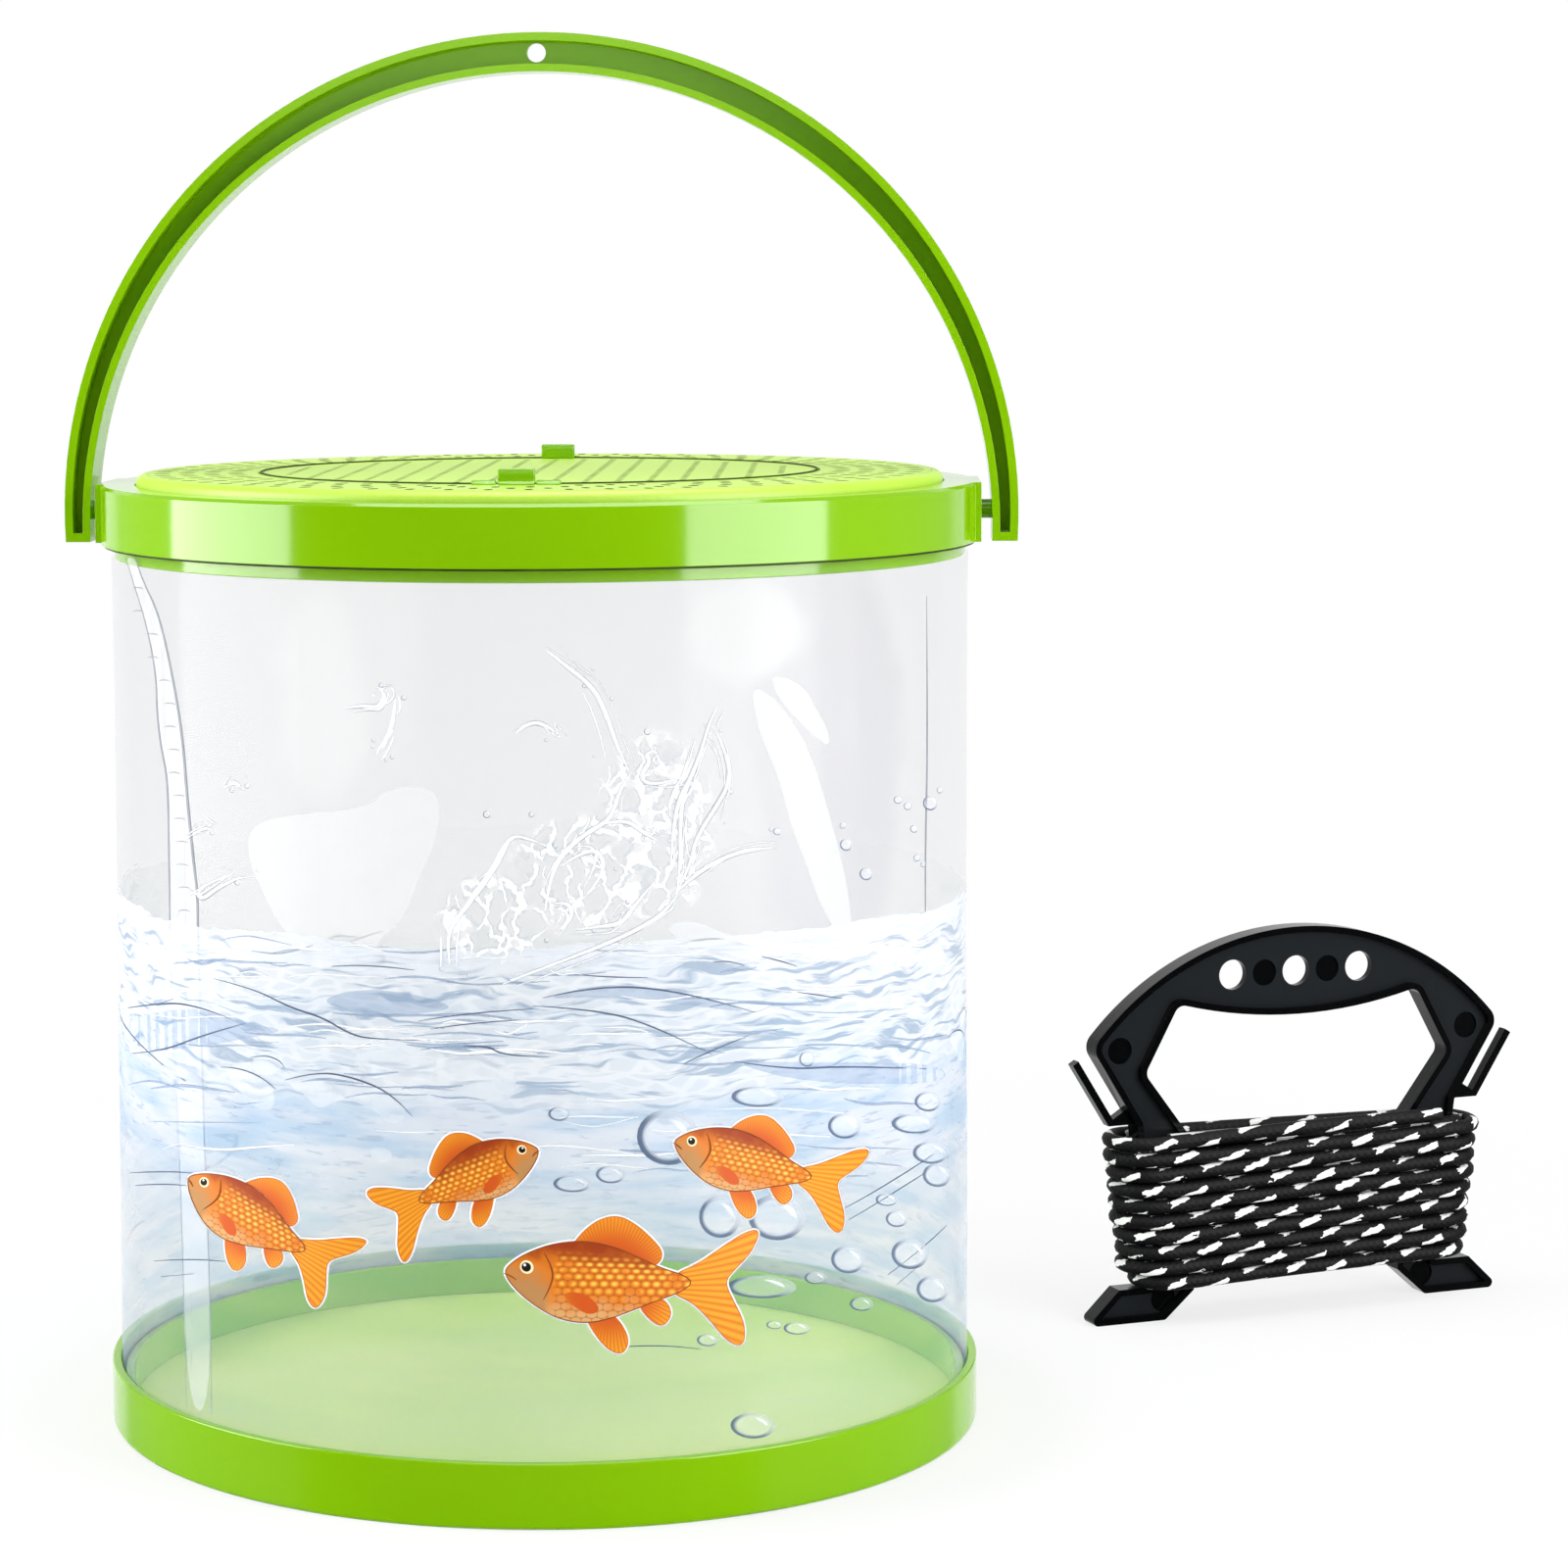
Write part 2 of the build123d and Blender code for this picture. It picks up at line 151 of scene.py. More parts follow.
route_points = [from_winder(p) for p in turn_points]
rope_route = bpy.data.curves.new("rope_route", "CURVE")
rope_route.dimensions = "3D"
rope_route.resolution_u = 3
rope_line = rope_route.splines.new("NURBS")
rope_line.points.add(len(route_points) - 1)
for place, point in zip(route_points, rope_line.points):
    point.co = (*place, 1)
rope_line.order_u = 3
rope_line.use_endpoint_u = True
route_object = bpy.data.objects.new("rope_route", rope_route)
rope_path = [v.co.copy() for v in bpy.data.meshes.new_from_object(route_object).vertices]
rope_length = sum((b - a).length for a, b in zip(rope_path, rope_path[1:]))
rope_route.bevel_depth = rope_diameter / 2
rope_route.bevel_resolution = 3
rope_route.use_fill_caps = True
rope = bpy.data.objects.new("rope", bpy.data.meshes.new_from_object(route_object))
bpy.context.scene.collection.objects.link(rope)
bpy.data.objects.remove(route_object)
rope.data.shade_smooth()


def linear(code):
    """An sRGB hex colour as linear RGBA."""
    parts = [int(code[i:i + 2], 16) / 255 for i in (0, 2, 4)]
    curve = [c / 12.92 if c <= 0.04045 else ((c + 0.055) / 1.055) ** 2.4 for c in parts]
    return (*curve, 1)


def new_material(name, sockets):
    """A material with its shader's own sockets set, and its node tree and shader."""
    material = bpy.data.materials.new(name)
    material.use_nodes = True
    shader = material.node_tree.nodes["Principled BSDF"]
    for socket, value in sockets.items():
        shader.inputs[socket].default_value = value
    return material, material.node_tree, shader


def add_node(tree, kind, sockets=(), out=0, **settings):
    """Adds a node, fills or links its sockets, and gives one of its outputs, or all for None."""
    node = tree.nodes.new("ShaderNode" + kind)
    for setting, value in settings.items():
        setattr(node, setting, value)
    for socket, value in sockets.items() if isinstance(sockets, dict) else enumerate(sockets):
        if isinstance(value, bpy.types.NodeSocket):
            tree.links.new(value, node.inputs[socket])
        else:
            node.inputs[socket].default_value = value
    return node.outputs if out is None else node.outputs[out]


# braided nylon: black strands, with two white tracers that climb round the rope and come up for
# a few millimetres at a time, as slanted flecks with frayed edges
tracer_lead = 43.0          # mm along the rope for one turn of a tracer
fleck_pitch = 15.6          # mm along the rope from one fleck to the next
fleck_half = 0.15           # half a fleck's width, as a share of half a turn
strand_length = 2.6         # mm along the rope that a strand of the braid shows
strands_round = 8.0
tracer_drift = 0.14         # of a turn, by which the fray shifts a tracer's edges
fleck_drift = 0.5           # of a fleck's pitch, by which it shifts their ends
braid, tree, shader = new_material(
    "braided nylon", {"Roughness": 0.6, "Specular IOR Level": 0.12}
)
rope_uv = add_node(tree, "UVMap")
rope_xy = add_node(tree, "SeparateXYZ", (rope_uv,), out=None)
rope_mm = add_node(tree, "Math", (rope_xy["X"], rope_length / MM), operation="MULTIPLY")
strand_way = add_node(tree, "Math", (rope_mm, strand_length), operation="DIVIDE")
strand_round = add_node(tree, "Math", (rope_xy["Y"], strands_round), operation="MULTIPLY")
strand_a = add_node(tree, "Math", (strand_way, strand_round), operation="ADD")
strand_b = add_node(tree, "Math", (strand_way, strand_round), operation="SUBTRACT")
fibres = add_node(tree, "CombineXYZ", {"X": strand_way, "Y": strand_round})
fray = add_node(tree, "TexNoise", {"Vector": fibres, "Scale": 0.9, "Detail": 2.0})
fray = add_node(tree, "Math", (fray, 0.5), operation="SUBTRACT")
climb = add_node(tree, "Math", (
    rope_xy["Y"], add_node(tree, "Math", (rope_mm, tracer_lead), operation="DIVIDE"),
), operation="ADD")
climb = add_node(tree, "Math", (fray, tracer_drift, climb), operation="MULTIPLY_ADD")
half_climb = add_node(
    tree, "Math", (add_node(tree, "Math", (climb, 2.0), operation="MULTIPLY"),), operation="FRACT"
)
aside = add_node(tree, "Math", (
    add_node(tree, "Math", (half_climb, 0.5), operation="SUBTRACT"),
), operation="ABSOLUTE")
along_tracer = add_node(tree, "Math", (
    fray, fleck_drift, add_node(tree, "Math", (rope_mm, fleck_pitch), operation="DIVIDE"),
), operation="MULTIPLY_ADD")
on_tracer = add_node(tree, "Math", (aside, fleck_half), operation="LESS_THAN")
on_top = add_node(tree, "Math", (
    add_node(tree, "Math", (along_tracer,), operation="FRACT"), 0.5,
), operation="LESS_THAN")
fleck = add_node(tree, "Math", (on_tracer, on_top), operation="MULTIPLY")
round_a = add_node(tree, "Math", (strand_a, 0.5), operation="PINGPONG")
round_b = add_node(tree, "Math", (strand_b, 0.5), operation="PINGPONG")
strand_height = add_node(tree, "Math", (round_a, round_b), operation="MULTIPLY")
braid_colour = add_node(
    tree, "Mix", {0: fleck, 6: linear("08080A"), 7: linear("F8F8F6")}, out=2, data_type="RGBA"
)
tree.links.new(braid_colour, shader.inputs["Base Color"])
braid_bump = add_node(
    tree, "Bump", {"Height": strand_height, "Strength": 0.6, "Distance": 1.2 * MM}
)
tree.links.new(braid_bump, shader.inputs["Normal"])
rope.data.materials.append(braid)

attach(rope, "winder")
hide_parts("rope_core", "rope_winding")

# Rope winder. One flat piece of black ABS with a moulded rim round its web, a hand opening, three
# holes along its grip, feet, and two prongs that nip the rope's end. It comes out of its mould
# with a bright, slightly uneven gloss.


def soften_edges(piece, width, segments=2):
    """Rounds the sharp edges of a piece."""
    soften = piece.modifiers.new("edge", "BEVEL")
    soften.width = width
    soften.segments = segments
    soften.limit_method = "ANGLE"
    soften.angle_limit = radians(28)
    soften.harden_normals = True


def dressed_copy(node, name, edge, segments=2):
    """A copy of a CAD node with its facets merged and its edges rounded, as moulded."""
    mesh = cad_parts[node].data.copy()
    mesh.materials.clear()
    bm = bmesh.new()
    bm.from_mesh(mesh)
    bmesh.ops.remove_doubles(bm, verts=bm.verts, dist=0.01 * MM)
    bmesh.ops.dissolve_limit(
        bm, angle_limit=radians(0.05), use_dissolve_boundaries=False, verts=bm.verts, edges=bm.edges
    )
    bm.to_mesh(mesh)
    bm.free()
    if "custom_normal" in mesh.attributes:
        mesh.attributes.remove(mesh.attributes["custom_normal"])
    mesh.shade_smooth()
    piece = bpy.data.objects.new(name, mesh)
    bpy.context.scene.collection.objects.link(piece)
    soften_edges(piece, edge, segments)
    return piece


winder = dressed_copy("winder_frame", "winder", 0.8 * MM, 3)

# moulded ABS: a dark grey on the face of the web and a deep black off it, on the rim and on
# the floors of the recessed ejector marks, whose deep black is painted shade. The melt's flow shows
# as soft dents of 17 mm.
web_half = 1.4 * MM         # from the winder's middle plane to the face of its web
web_margin = 0.25 * MM
black_abs, tree, shader = new_material(
    "moulded ABS, black", {"Roughness": 0.2, "Specular IOR Level": 0.4}
)
place = add_node(tree, "TexCoord", out="Object")
across_web = add_node(tree, "VectorMath", (
    place, (-sin(winder_turn), cos(winder_turn), 0),
), out="Value", operation="DOT_PRODUCT")
web_middle = -winder_place.x * sin(winder_turn) + winder_place.y * cos(winder_turn)
from_middle = add_node(tree, "Math", (
    add_node(tree, "Math", (across_web, web_middle), operation="SUBTRACT"),
), operation="ABSOLUTE")
on_web = add_node(tree, "Math", (from_middle, web_half, web_margin), operation="COMPARE")
# off the web face, in the recessed ejector marks, the deep black is painted shade
web_grey_and_recess_shade = add_node(
    tree, "Mix", {0: on_web, 6: linear("050607"), 7: linear("1D2023")}, out=2, data_type="RGBA"
)
tree.links.new(web_grey_and_recess_shade, shader.inputs["Base Color"])
flow = add_node(tree, "TexNoise", {"Vector": place, "Scale": 60.0, "Detail": 3.0})
flow_bump = add_node(tree, "Bump", {"Height": flow, "Strength": 0.12, "Distance": 1 * MM})
tree.links.new(flow_bump, shader.inputs["Normal"])
winder.data.materials.append(black_abs)
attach(winder, "winder")
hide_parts("winder_frame")

# Lower ring and its tray. Glossy green polypropylene, moulded in one piece, which the film bag
# stands in. The clamp rings that hold the film, the upper ring and the handle are the same
# plastic, pressed or hooked together with no screws.

# moulded polypropylene: a clear yellow-green all through, with a hard gloss that shows sharp
# reflections, and a slight drift of shade, over 110 mm or so, where the melt cooled more slowly
green_pp, tree, shader = new_material(
    "moulded polypropylene, green",
    {"Roughness": 0.1, "IOR": 1.49, "Specular IOR Level": 0.32},
)
place = add_node(tree, "TexCoord", out="Object")
cooling = add_node(tree, "TexNoise", {"Vector": place, "Scale": 9.0, "Detail": 1.0})
shade = add_node(
    tree, "Mix", {0: cooling, 6: linear("79AE02"), 7: linear("83BA06")}, out=2, data_type="RGBA"
)
tree.links.new(shade, shader.inputs["Base Color"])
sink = add_node(tree, "Bump", {"Height": cooling, "Strength": 0.02, "Distance": 1 * MM})
tree.links.new(sink, shader.inputs["Normal"])
for node, body, edge in (
    ("base_tray", "base", 0.8 * MM),
    ("base_clamp_ring", "base", 0.4 * MM),
    ("top_ring", "top", 0.7 * MM),
    ("top_clamp_ring", "top", 0.4 * MM),
    ("bail", "handle", 0.3 * MM),
):
    piece = dressed_copy(node, node + "_moulding", edge)
    piece.data.materials.append(green_pp)
    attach(piece, body)
    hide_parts(node)

# Lid and hatch. Thin moulded plates of the same green plastic, pierced all over by small oval
# holes. The hatch lies in the lid with a narrow groove round it, on a ledge moulded under the lid,
# and two tabs stand on it, the front one over its hinge.
lid_low, lid_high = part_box("lid")
lid_radius = lid_high.x
lid_seat = lid_low.z
hatch_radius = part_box("hatch")[1].x
lid_proud = 3.4 * MM        # the lid's top stands this far above the upper ring
lid_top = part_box("top_ring")[1].z + lid_proud
plate_thickness = 2.2 * MM
hatch_gap = 0.5 * MM
hatch_opening = hatch_radius + hatch_gap
lid_hole_half = Vector((3.0, 1.5, 1)) * MM  # an oval, longer outward than across
hatch_hole_half = Vector((1.5, 1.3, 1)) * MM
hole_sides = 10
widest_hole_wall = 3 * MM   # a wall that is wider than this belongs to the plate's own edge
round_steps = 160
pin_y, pin_z = -98.2 * MM, 325.0 * MM
barrel_radius = 2.4 * MM
barrel_width = 12 * MM
lug_width = 8 * MM
barrel_gap = 0.4 * MM


def added_piece(name, bm, smooth=True):
    """A finished bmesh as a piece of the scene."""
    mesh = bpy.data.meshes.new(name)
    bm.to_mesh(mesh)
    bm.free()
    if smooth:
        mesh.shade_smooth()
    piece = bpy.data.objects.new(name, mesh)
    bpy.context.scene.collection.objects.link(piece)
    return piece


def circle_with_step(radius, half_width, reach):
    """Places round a circle that steps out in front to a straight edge, where the hinge is."""
    step_y = -sqrt(radius**2 - half_width**2)
    places = [(half_width, -reach), (half_width, step_y)]
    for i in range(round_steps):
        angle = 2 * pi * (i + 0.5) / round_steps - pi / 2
        x, y = radius * cos(angle), radius * sin(angle)
        if y > 0 or abs(x) > half_width:
            places.append((x, y))
    return places + [(-half_width, step_y), (-half_width, -reach)]


def pierced_plate(name, outline, rim_radius, holes, hole_half, top, thickness):
    """A level plate inside an outline, or between it and a round rim, with its through holes."""
    bm = bmesh.new()
    corners = [bm.verts.new((x, y, top)) for x, y in outline]
    for a, b in zip(corners, corners[1:] + corners[:1]):
        bm.edges.new((a, b))
    if rim_radius:
        bmesh.ops.create_circle(
            bm, cap_ends=False, radius=rim_radius, segments=round_steps,
            matrix=Matrix.Translation((0, 0, top)),
        )
    for x, y, outward in holes:
        placed = Matrix.Translation((x, y, top)) @ Matrix.Rotation(outward, 4, "Z")
        oval = placed @ Matrix.Diagonal((*hole_half, 1))
        bmesh.ops.create_circle(
            bm, cap_ends=False, radius=1, segments=hole_sides, matrix=oval
        )
    bmesh.ops.triangle_fill(bm, use_beauty=True, use_dissolve=False, edges=bm.edges)
    bmesh.ops.recalc_face_normals(bm, faces=bm.faces)
    sunk = bmesh.ops.extrude_face_region(bm, geom=bm.faces[:])["geom"]
    low = [v for v in sunk if isinstance(v, bmesh.types.BMVert)]
    bmesh.ops.translate(bm, verts=low, vec=(0, 0, -thickness))
    bmesh.ops.recalc_face_normals(bm, faces=bm.faces)
    # the walls of the holes take the plate's second material, a painted shade
    for face in bm.faces:
        if abs(face.normal.z) < 0.5 and face.calc_area() < widest_hole_wall * thickness:
            face.material_index = 1
    return added_piece(name, bm, smooth=False)


def turned_ring(name, outline, edge, steps=round_steps):
    """A ring about the tank's axis, spun from its (radius, height) outline."""
    bm = bmesh.new()
    corners = [bm.verts.new((r, 0, z)) for r, z in outline]
    edges = [bm.edges.new((a, b)) for a, b in zip(corners, corners[1:] + corners[:1])]
    bmesh.ops.spin(
        bm, geom=corners + edges, cent=(0, 0, 0), axis=(0, 0, 1), angle=2 * pi,
        steps=steps, use_merge=True, use_duplicate=False,
    )
    bmesh.ops.recalc_face_normals(bm, faces=bm.faces)
    piece = added_piece(name, bm)
    soften_edges(piece, edge)
    return piece


def flat_section(inner, outer, low, high):
    """The outline of a ring with a rectangular section."""
    return [(inner, high), (outer, high), (outer, low), (inner, low)]


lid_rows = 4
first_row_inset = 7.6 * MM  # from the hatch's opening
lid_row_pitch = 8.4 * MM
holes_per_row = 64
notch_half = barrel_width / 2 + barrel_gap
hinge_half = notch_half + lug_width
hinge_margin_side = 3.5 * MM    # of whole plate beside the hinge, and behind it
hinge_margin_back = 14 * MM
lid_holes = []
for row in range(lid_rows):
    radius = hatch_opening + first_row_inset + row * lid_row_pitch
    for i in range(holes_per_row):
        angle = 2 * pi * (i + row % 2 / 2) / holes_per_row
        x, y = radius * cos(angle), radius * sin(angle)
        clear_of_hinge = abs(x) > hinge_half + hinge_margin_side
        if y > 0 or clear_of_hinge or radius > hatch_opening + hinge_margin_back:
            lid_holes.append((x, y, angle))
hatch_pitch_x, hatch_pitch_y = 10.4 * MM, 8.2 * MM
hatch_border = 6.5 * MM
hatch_holes = []
for row in range(-10, 11):
    for column in range(-8, 9):
        x, y = hatch_pitch_x * column, hatch_pitch_y * row
        if sqrt(x * x + y * y) < hatch_radius - hatch_border:
            hatch_holes.append((x, y, pi / 2))

rim_inner = lid_radius - 4 * MM
notch_reach = -pin_y + barrel_radius + 1.1 * MM
lid_plate = pierced_plate(
    "lid_plate", circle_with_step(hatch_opening, notch_half, notch_reach),
    rim_inner, lid_holes, lid_hole_half, lid_top, plate_thickness,
)
skirt_wall = 1.8 * MM
plate_under = lid_top - plate_thickness
round_over = 3.2 * MM       # radius of the lid's rounded shoulder
shoulder = []
for i in range(5):
    angle = pi / 2 * (1 - i / 4)
    sunk = round_over * (1 - sin(angle))
    shoulder.append((lid_radius - round_over * (1 - cos(angle)), lid_top - sunk))
lid_rim = turned_ring("lid_rim", [
    (rim_inner, lid_top), *shoulder, (lid_radius, lid_seat), (lid_radius - skirt_wall, lid_seat),
    (lid_radius - skirt_wall, plate_under), (rim_inner, plate_under),
], 0.4 * MM)
ledge_depth = 1.6 * MM
lid_ledge = turned_ring("lid_ledge", flat_section(
    hatch_radius - 3.3 * MM, hatch_opening + 3 * MM, plate_under - ledge_depth, plate_under
), 0.3 * MM)
hatch_plate = pierced_plate(
    "hatch_plate", circle_with_step(hatch_radius, barrel_width / 2, -pin_y),
    None, hatch_holes, hatch_hole_half, lid_top, plate_thickness,
)


def knuckle(name, x, width):
    """A round knuckle of the hinge, with its ends slightly rounded."""
    bm = bmesh.new()
    bmesh.ops.create_cone(
        bm, cap_ends=True, cap_tris=False, segments=24, radius1=barrel_radius,
        radius2=barrel_radius, depth=width,
        matrix=Matrix.Translation((x, pin_y, pin_z)) @ Matrix.Rotation(pi / 2, 4, "Y"),
    )
    rims = [e for e in bm.edges if abs(e.calc_face_angle(0)) > radians(45)]
    bmesh.ops.bevel(
        bm, geom=rims, offset=0.4 * MM, segments=2, profile=0.5, affect="EDGES", material=-1
    )
    return added_piece(name, bm)


def rounded_tab(name, y):
    """One of the hatch's two tabs, a small block with rounded edges."""
    bm = bmesh.new()
    bmesh.ops.create_cube(bm, size=1)
    bmesh.ops.scale(bm, vec=tab_size, verts=bm.verts)
    bmesh.ops.translate(bm, vec=(0, y, lid_top + tab_size.z / 2), verts=bm.verts)
    bmesh.ops.bevel(
        bm, geom=bm.edges[:], offset=0.6 * MM, segments=3, profile=0.5, affect="EDGES", material=-1
    )
    return added_piece(name, bm)


tab_size = Vector((12, 3.4, 5.2)) * MM
hinge_tab_y, finger_tab_y = -97.0 * MM, 92.7 * MM
lug_x = barrel_width / 2 + barrel_gap + lug_width / 2
lid_lugs = [knuckle(f"lid_lug_{i}", x, lug_width) for i, x in enumerate((-lug_x, lug_x))]
hatch_barrel = knuckle("hatch_barrel", 0, barrel_width)
tabs = [rounded_tab("hinge_tab", hinge_tab_y), rounded_tab("finger_tab", finger_tab_y)]

# textured polypropylene: the lid's upper side comes from a lightly etched mould, with a grain of
# 1.4 mm, so it has a broad soft sheen instead of reflections; its pale yellow-green is painted
# light, the sheen that the lid shows from a grazing view
textured_painted_pale_pp, tree, shader = new_material(
    "textured polypropylene, green, painted pale", {"Roughness": 0.42, "IOR": 1.49, "Specular IOR Level": 0.3}
)
place = add_node(tree, "TexCoord", out="Object")
etching = add_node(tree, "TexNoise", {"Vector": place, "Scale": 700.0, "Detail": 2.0})
# painted light: a pale yellow-green, paler than the rings' green
shade = add_node(
    tree, "Mix", {0: etching, 6: linear("B0D838"), 7: linear("BEE24E")}, out=2, data_type="RGBA"
)
tree.links.new(shade, shader.inputs["Base Color"])
etched = add_node(tree, "Bump", {"Height": etching, "Strength": 0.15, "Distance": 0.2 * MM})
tree.links.new(etched, shader.inputs["Normal"])

# moulded polypropylene in the holes: matt from the mould's pins, and coloured a dark olive, a
# painted shade that makes the holes read as dark dots
painted_shade_pp, tree, shader = new_material(
    "moulded polypropylene, painted shade", {"Roughness": 0.6, "Specular IOR Level": 0.1}
)
place = add_node(tree, "TexCoord", out="Object")
painted_shade_mottle = add_node(tree, "TexNoise", {"Vector": place, "Scale": 90.0, "Detail": 1.0})
shade = add_node(
    tree, "Mix", {0: painted_shade_mottle, 6: linear("1E2A04"), 7: linear("435908")}, out=2, data_type="RGBA"
)
tree.links.new(shade, shader.inputs["Base Color"])

# two thin dark beads, painted shadow lines in the same painted shade: one under the upper ring,
# where the film comes out of it, and one round the hatch, along its groove
ring_under = 302.6 * MM
ring_shadow_bead = turned_ring("ring_shadow_bead", flat_section(
    147.0 * MM, 149.0 * MM, ring_under - 0.9 * MM, ring_under
), 0.1 * MM)
groove_shadow_bead = turned_ring("groove_shadow_bead", flat_section(
    hatch_radius - 1.0 * MM, hatch_radius - 0.1 * MM, lid_top - 1.0 * MM, lid_top + 0.5 * MM
), 0.2 * MM)
for bead, body in ((ring_shadow_bead, "top"), (groove_shadow_bead, "flap")):
    bead.data.materials.append(painted_shade_pp)
    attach(bead, body)
for body, pieces in (
    ("cover", [lid_plate, lid_rim, lid_ledge] + lid_lugs),
    ("flap", [hatch_plate, hatch_barrel] + tabs),
):
    for piece in pieces:
        pierced = piece in (lid_plate, hatch_plate)
        piece.data.materials.append(textured_painted_pale_pp if pierced or piece == lid_rim else green_pp)
        if pierced:
            piece.data.materials.append(painted_shade_pp)
        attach(piece, body)
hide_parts("lid")
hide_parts("hatch")

# Hinge pin. A short piece of drawn steel wire, pushed through the lid's lugs and the hatch's
# barrel, where it sits by its fit alone.

# drawn steel: a bright grey metal, a little dulled along its length by the drawing die
steel, tree, shader = new_material("drawn steel", {"Metallic": 1.0, "Roughness": 0.3})
place = add_node(tree, "TexCoord", out="Object")
along_wire = add_node(tree, "Mapping", {"Vector": place, "Scale": (40.0, 4000.0, 4000.0)})
die_lines = add_node(tree, "TexNoise", {"Vector": along_wire, "Scale": 1.0})
steel_shade = add_node(
    tree, "Mix", {0: die_lines, 6: linear("B4B4B8"), 7: linear("D8D8DC")}, out=2, data_type="RGBA"
)
tree.links.new(steel_shade, shader.inputs["Base Color"])
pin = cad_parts["hatch_pin"]
pin.data.materials.clear()
pin.data.materials.append(steel)

# Film bag. A clear, soft PVC film, welded down one side and round a floor of the same film. It
# is clamped between the rings at both ends, and hangs in soft waves between them.
film_radius = 146.6 * MM
film_low, film_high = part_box("film_wall")
free_low, free_high = 24, 298   # mm, between which the film hangs free of the rings
calm_low, calm_high = 185, 210  # mm, above which its waves are lower, to fold into the ring
calmed = 0.62
drawn_in = 0.4              # mm, by which it lies further in than at the rings
film_waves = (              # mm high, waves round the tank, drift per mm of height, start
    (0.45, 4, 0.021, 0.0), (0.30, 9, -0.034, 1.0), (0.16, 17, 0.052, 2.0),
)


def film_swell(angle, z):
    """How far the film stands out in its soft waves, or in where that is negative."""
    height = z / MM
    wave = sum(
        high * sin(count * angle + drift * height + start)
        for high, count, drift, start in film_waves
    )
    between = min(max((height - free_low) / (free_high - free_low), 0.0), 1.0)
    upper = min(max((height - calm_low) / (calm_high - calm_low), 0.0), 1.0)
    return (wave * (1 - calmed * upper) - drawn_in) * sin(pi * between) ** 0.6 * MM


def rolled_sheet(name, stand_off, low, high, columns, rows):
    """A sheet rolled once round the tank, with its own millimetres as its UV map."""
    bm = bmesh.new()
    bmesh.ops.create_grid(bm, x_segments=columns, y_segments=rows, size=0.5, calc_uvs=False)
    uv = bm.loops.layers.uv.new("mm")
    for face in bm.faces:
        for loop in face.loops:
            up = low + (loop.vert.co.y + 0.5) * (high - low)
            loop[uv].uv = (film_radius / MM * 2 * pi * loop.vert.co.x, up / MM)
    for vert in bm.verts:
        angle = 2 * pi * vert.co.x
        up = low + (vert.co.y + 0.5) * (high - low)
        radius = film_radius + stand_off + film_swell(angle, up)
        vert.co = (radius * sin(angle), -radius * cos(angle), up)
    bmesh.ops.remove_doubles(bm, verts=bm.verts, dist=0.01 * MM)
    return added_piece(name, bm)


def sheet_place(tree):
    """The outputs for a place on the sheet: millimetres round from the front, and height."""
    uv = add_node(tree, "UVMap")
    place = add_node(tree, "SeparateXYZ", (uv,), out=None)
    return place["X"], place["Y"]


def round_noise(tree, across, up, length, height, detail):
    """Noise on the sheet that joins up round the tank, from the size of its marks in mm."""
    angle = add_node(tree, "Math", (across, film_radius / MM), operation="DIVIDE")
    reach = film_radius / MM / length
    east = add_node(tree, "Math", (
        add_node(tree, "Math", (angle,), operation="SINE"), reach,
    ), operation="MULTIPLY")
    south = add_node(tree, "Math", (
        add_node(tree, "Math", (angle,), operation="COSINE"), reach,
    ), operation="MULTIPLY")
    level = add_node(tree, "Math", (up, height), operation="DIVIDE")
    place = add_node(tree, "CombineXYZ", (east, south, level))
    return add_node(tree, "TexNoise", {"Vector": place, "Scale": 1.0, "Detail": detail})


# clear PVC film: almost no colour, a faint lilac cast that shows most where it is seen edge on, a
# darker lilac oval on its right, and two pale patches high up that are painted reflections of the
# lamps
film = rolled_sheet("film_bag", 0.0, film_low.z, film_high.z, 240, 90)
clear_pvc, tree, shader = new_material(
    "clear PVC film", {"Roughness": 0.12, "Specular IOR Level": 0.25}
)
across, up = sheet_place(tree)
widest_warp = 24.0          # mm, by which the edges of what follows wander
warp = round_noise(tree, across, up, 40, 40, 2.0)
shifted = add_node(tree, "Math", (warp, widest_warp, across), operation="MULTIPLY_ADD")


def soft_oval(centre, half):
    """How far a place is inside a soft-edged oval of the film, in mm across and up."""
    middle = centre[0] + widest_warp / 2
    east = add_node(tree, "Math", (
        add_node(tree, "Math", (shifted, middle), operation="SUBTRACT"), half[0],
    ), operation="DIVIDE")
    north = add_node(tree, "Math", (
        add_node(tree, "Math", (up, centre[1]), operation="SUBTRACT"), half[1],
    ), operation="DIVIDE")
    aside = add_node(tree, "CombineXYZ", (east, north))
    reach = add_node(tree, "VectorMath", (aside,), out="Value", operation="LENGTH")
    return add_node(tree, "MapRange", (reach, 1.1, 0.75), interpolation_type="SMOOTHSTEP")


# painted reflections: two pale patches high on the film
painted_haze_left = soft_oval((-62, 262), (18, 36))
painted_haze_right = soft_oval((76, 281), (25, 17))
painted_haze = add_node(tree, "Math", (painted_haze_left, painted_haze_right), operation="MAXIMUM")
dark_right_oval = soft_oval((112, 240), (36, 74))
tint = add_node(
    tree, "Mix", {0: dark_right_oval, 6: linear("B6B6C2"), 7: linear("9A98AC")}, out=2, data_type="RGBA"
)
tint = add_node(tree, "Mix", {0: painted_haze, 6: tint, 7: linear("D8DAE0")}, out=2, data_type="RGBA")
tree.links.new(tint, shader.inputs["Base Color"])
edge_on = add_node(tree, "LayerWeight", {"Blend": 0.3}, out="Facing")
film_edge = add_node(tree, "Math", (edge_on, 4.0), operation="POWER")
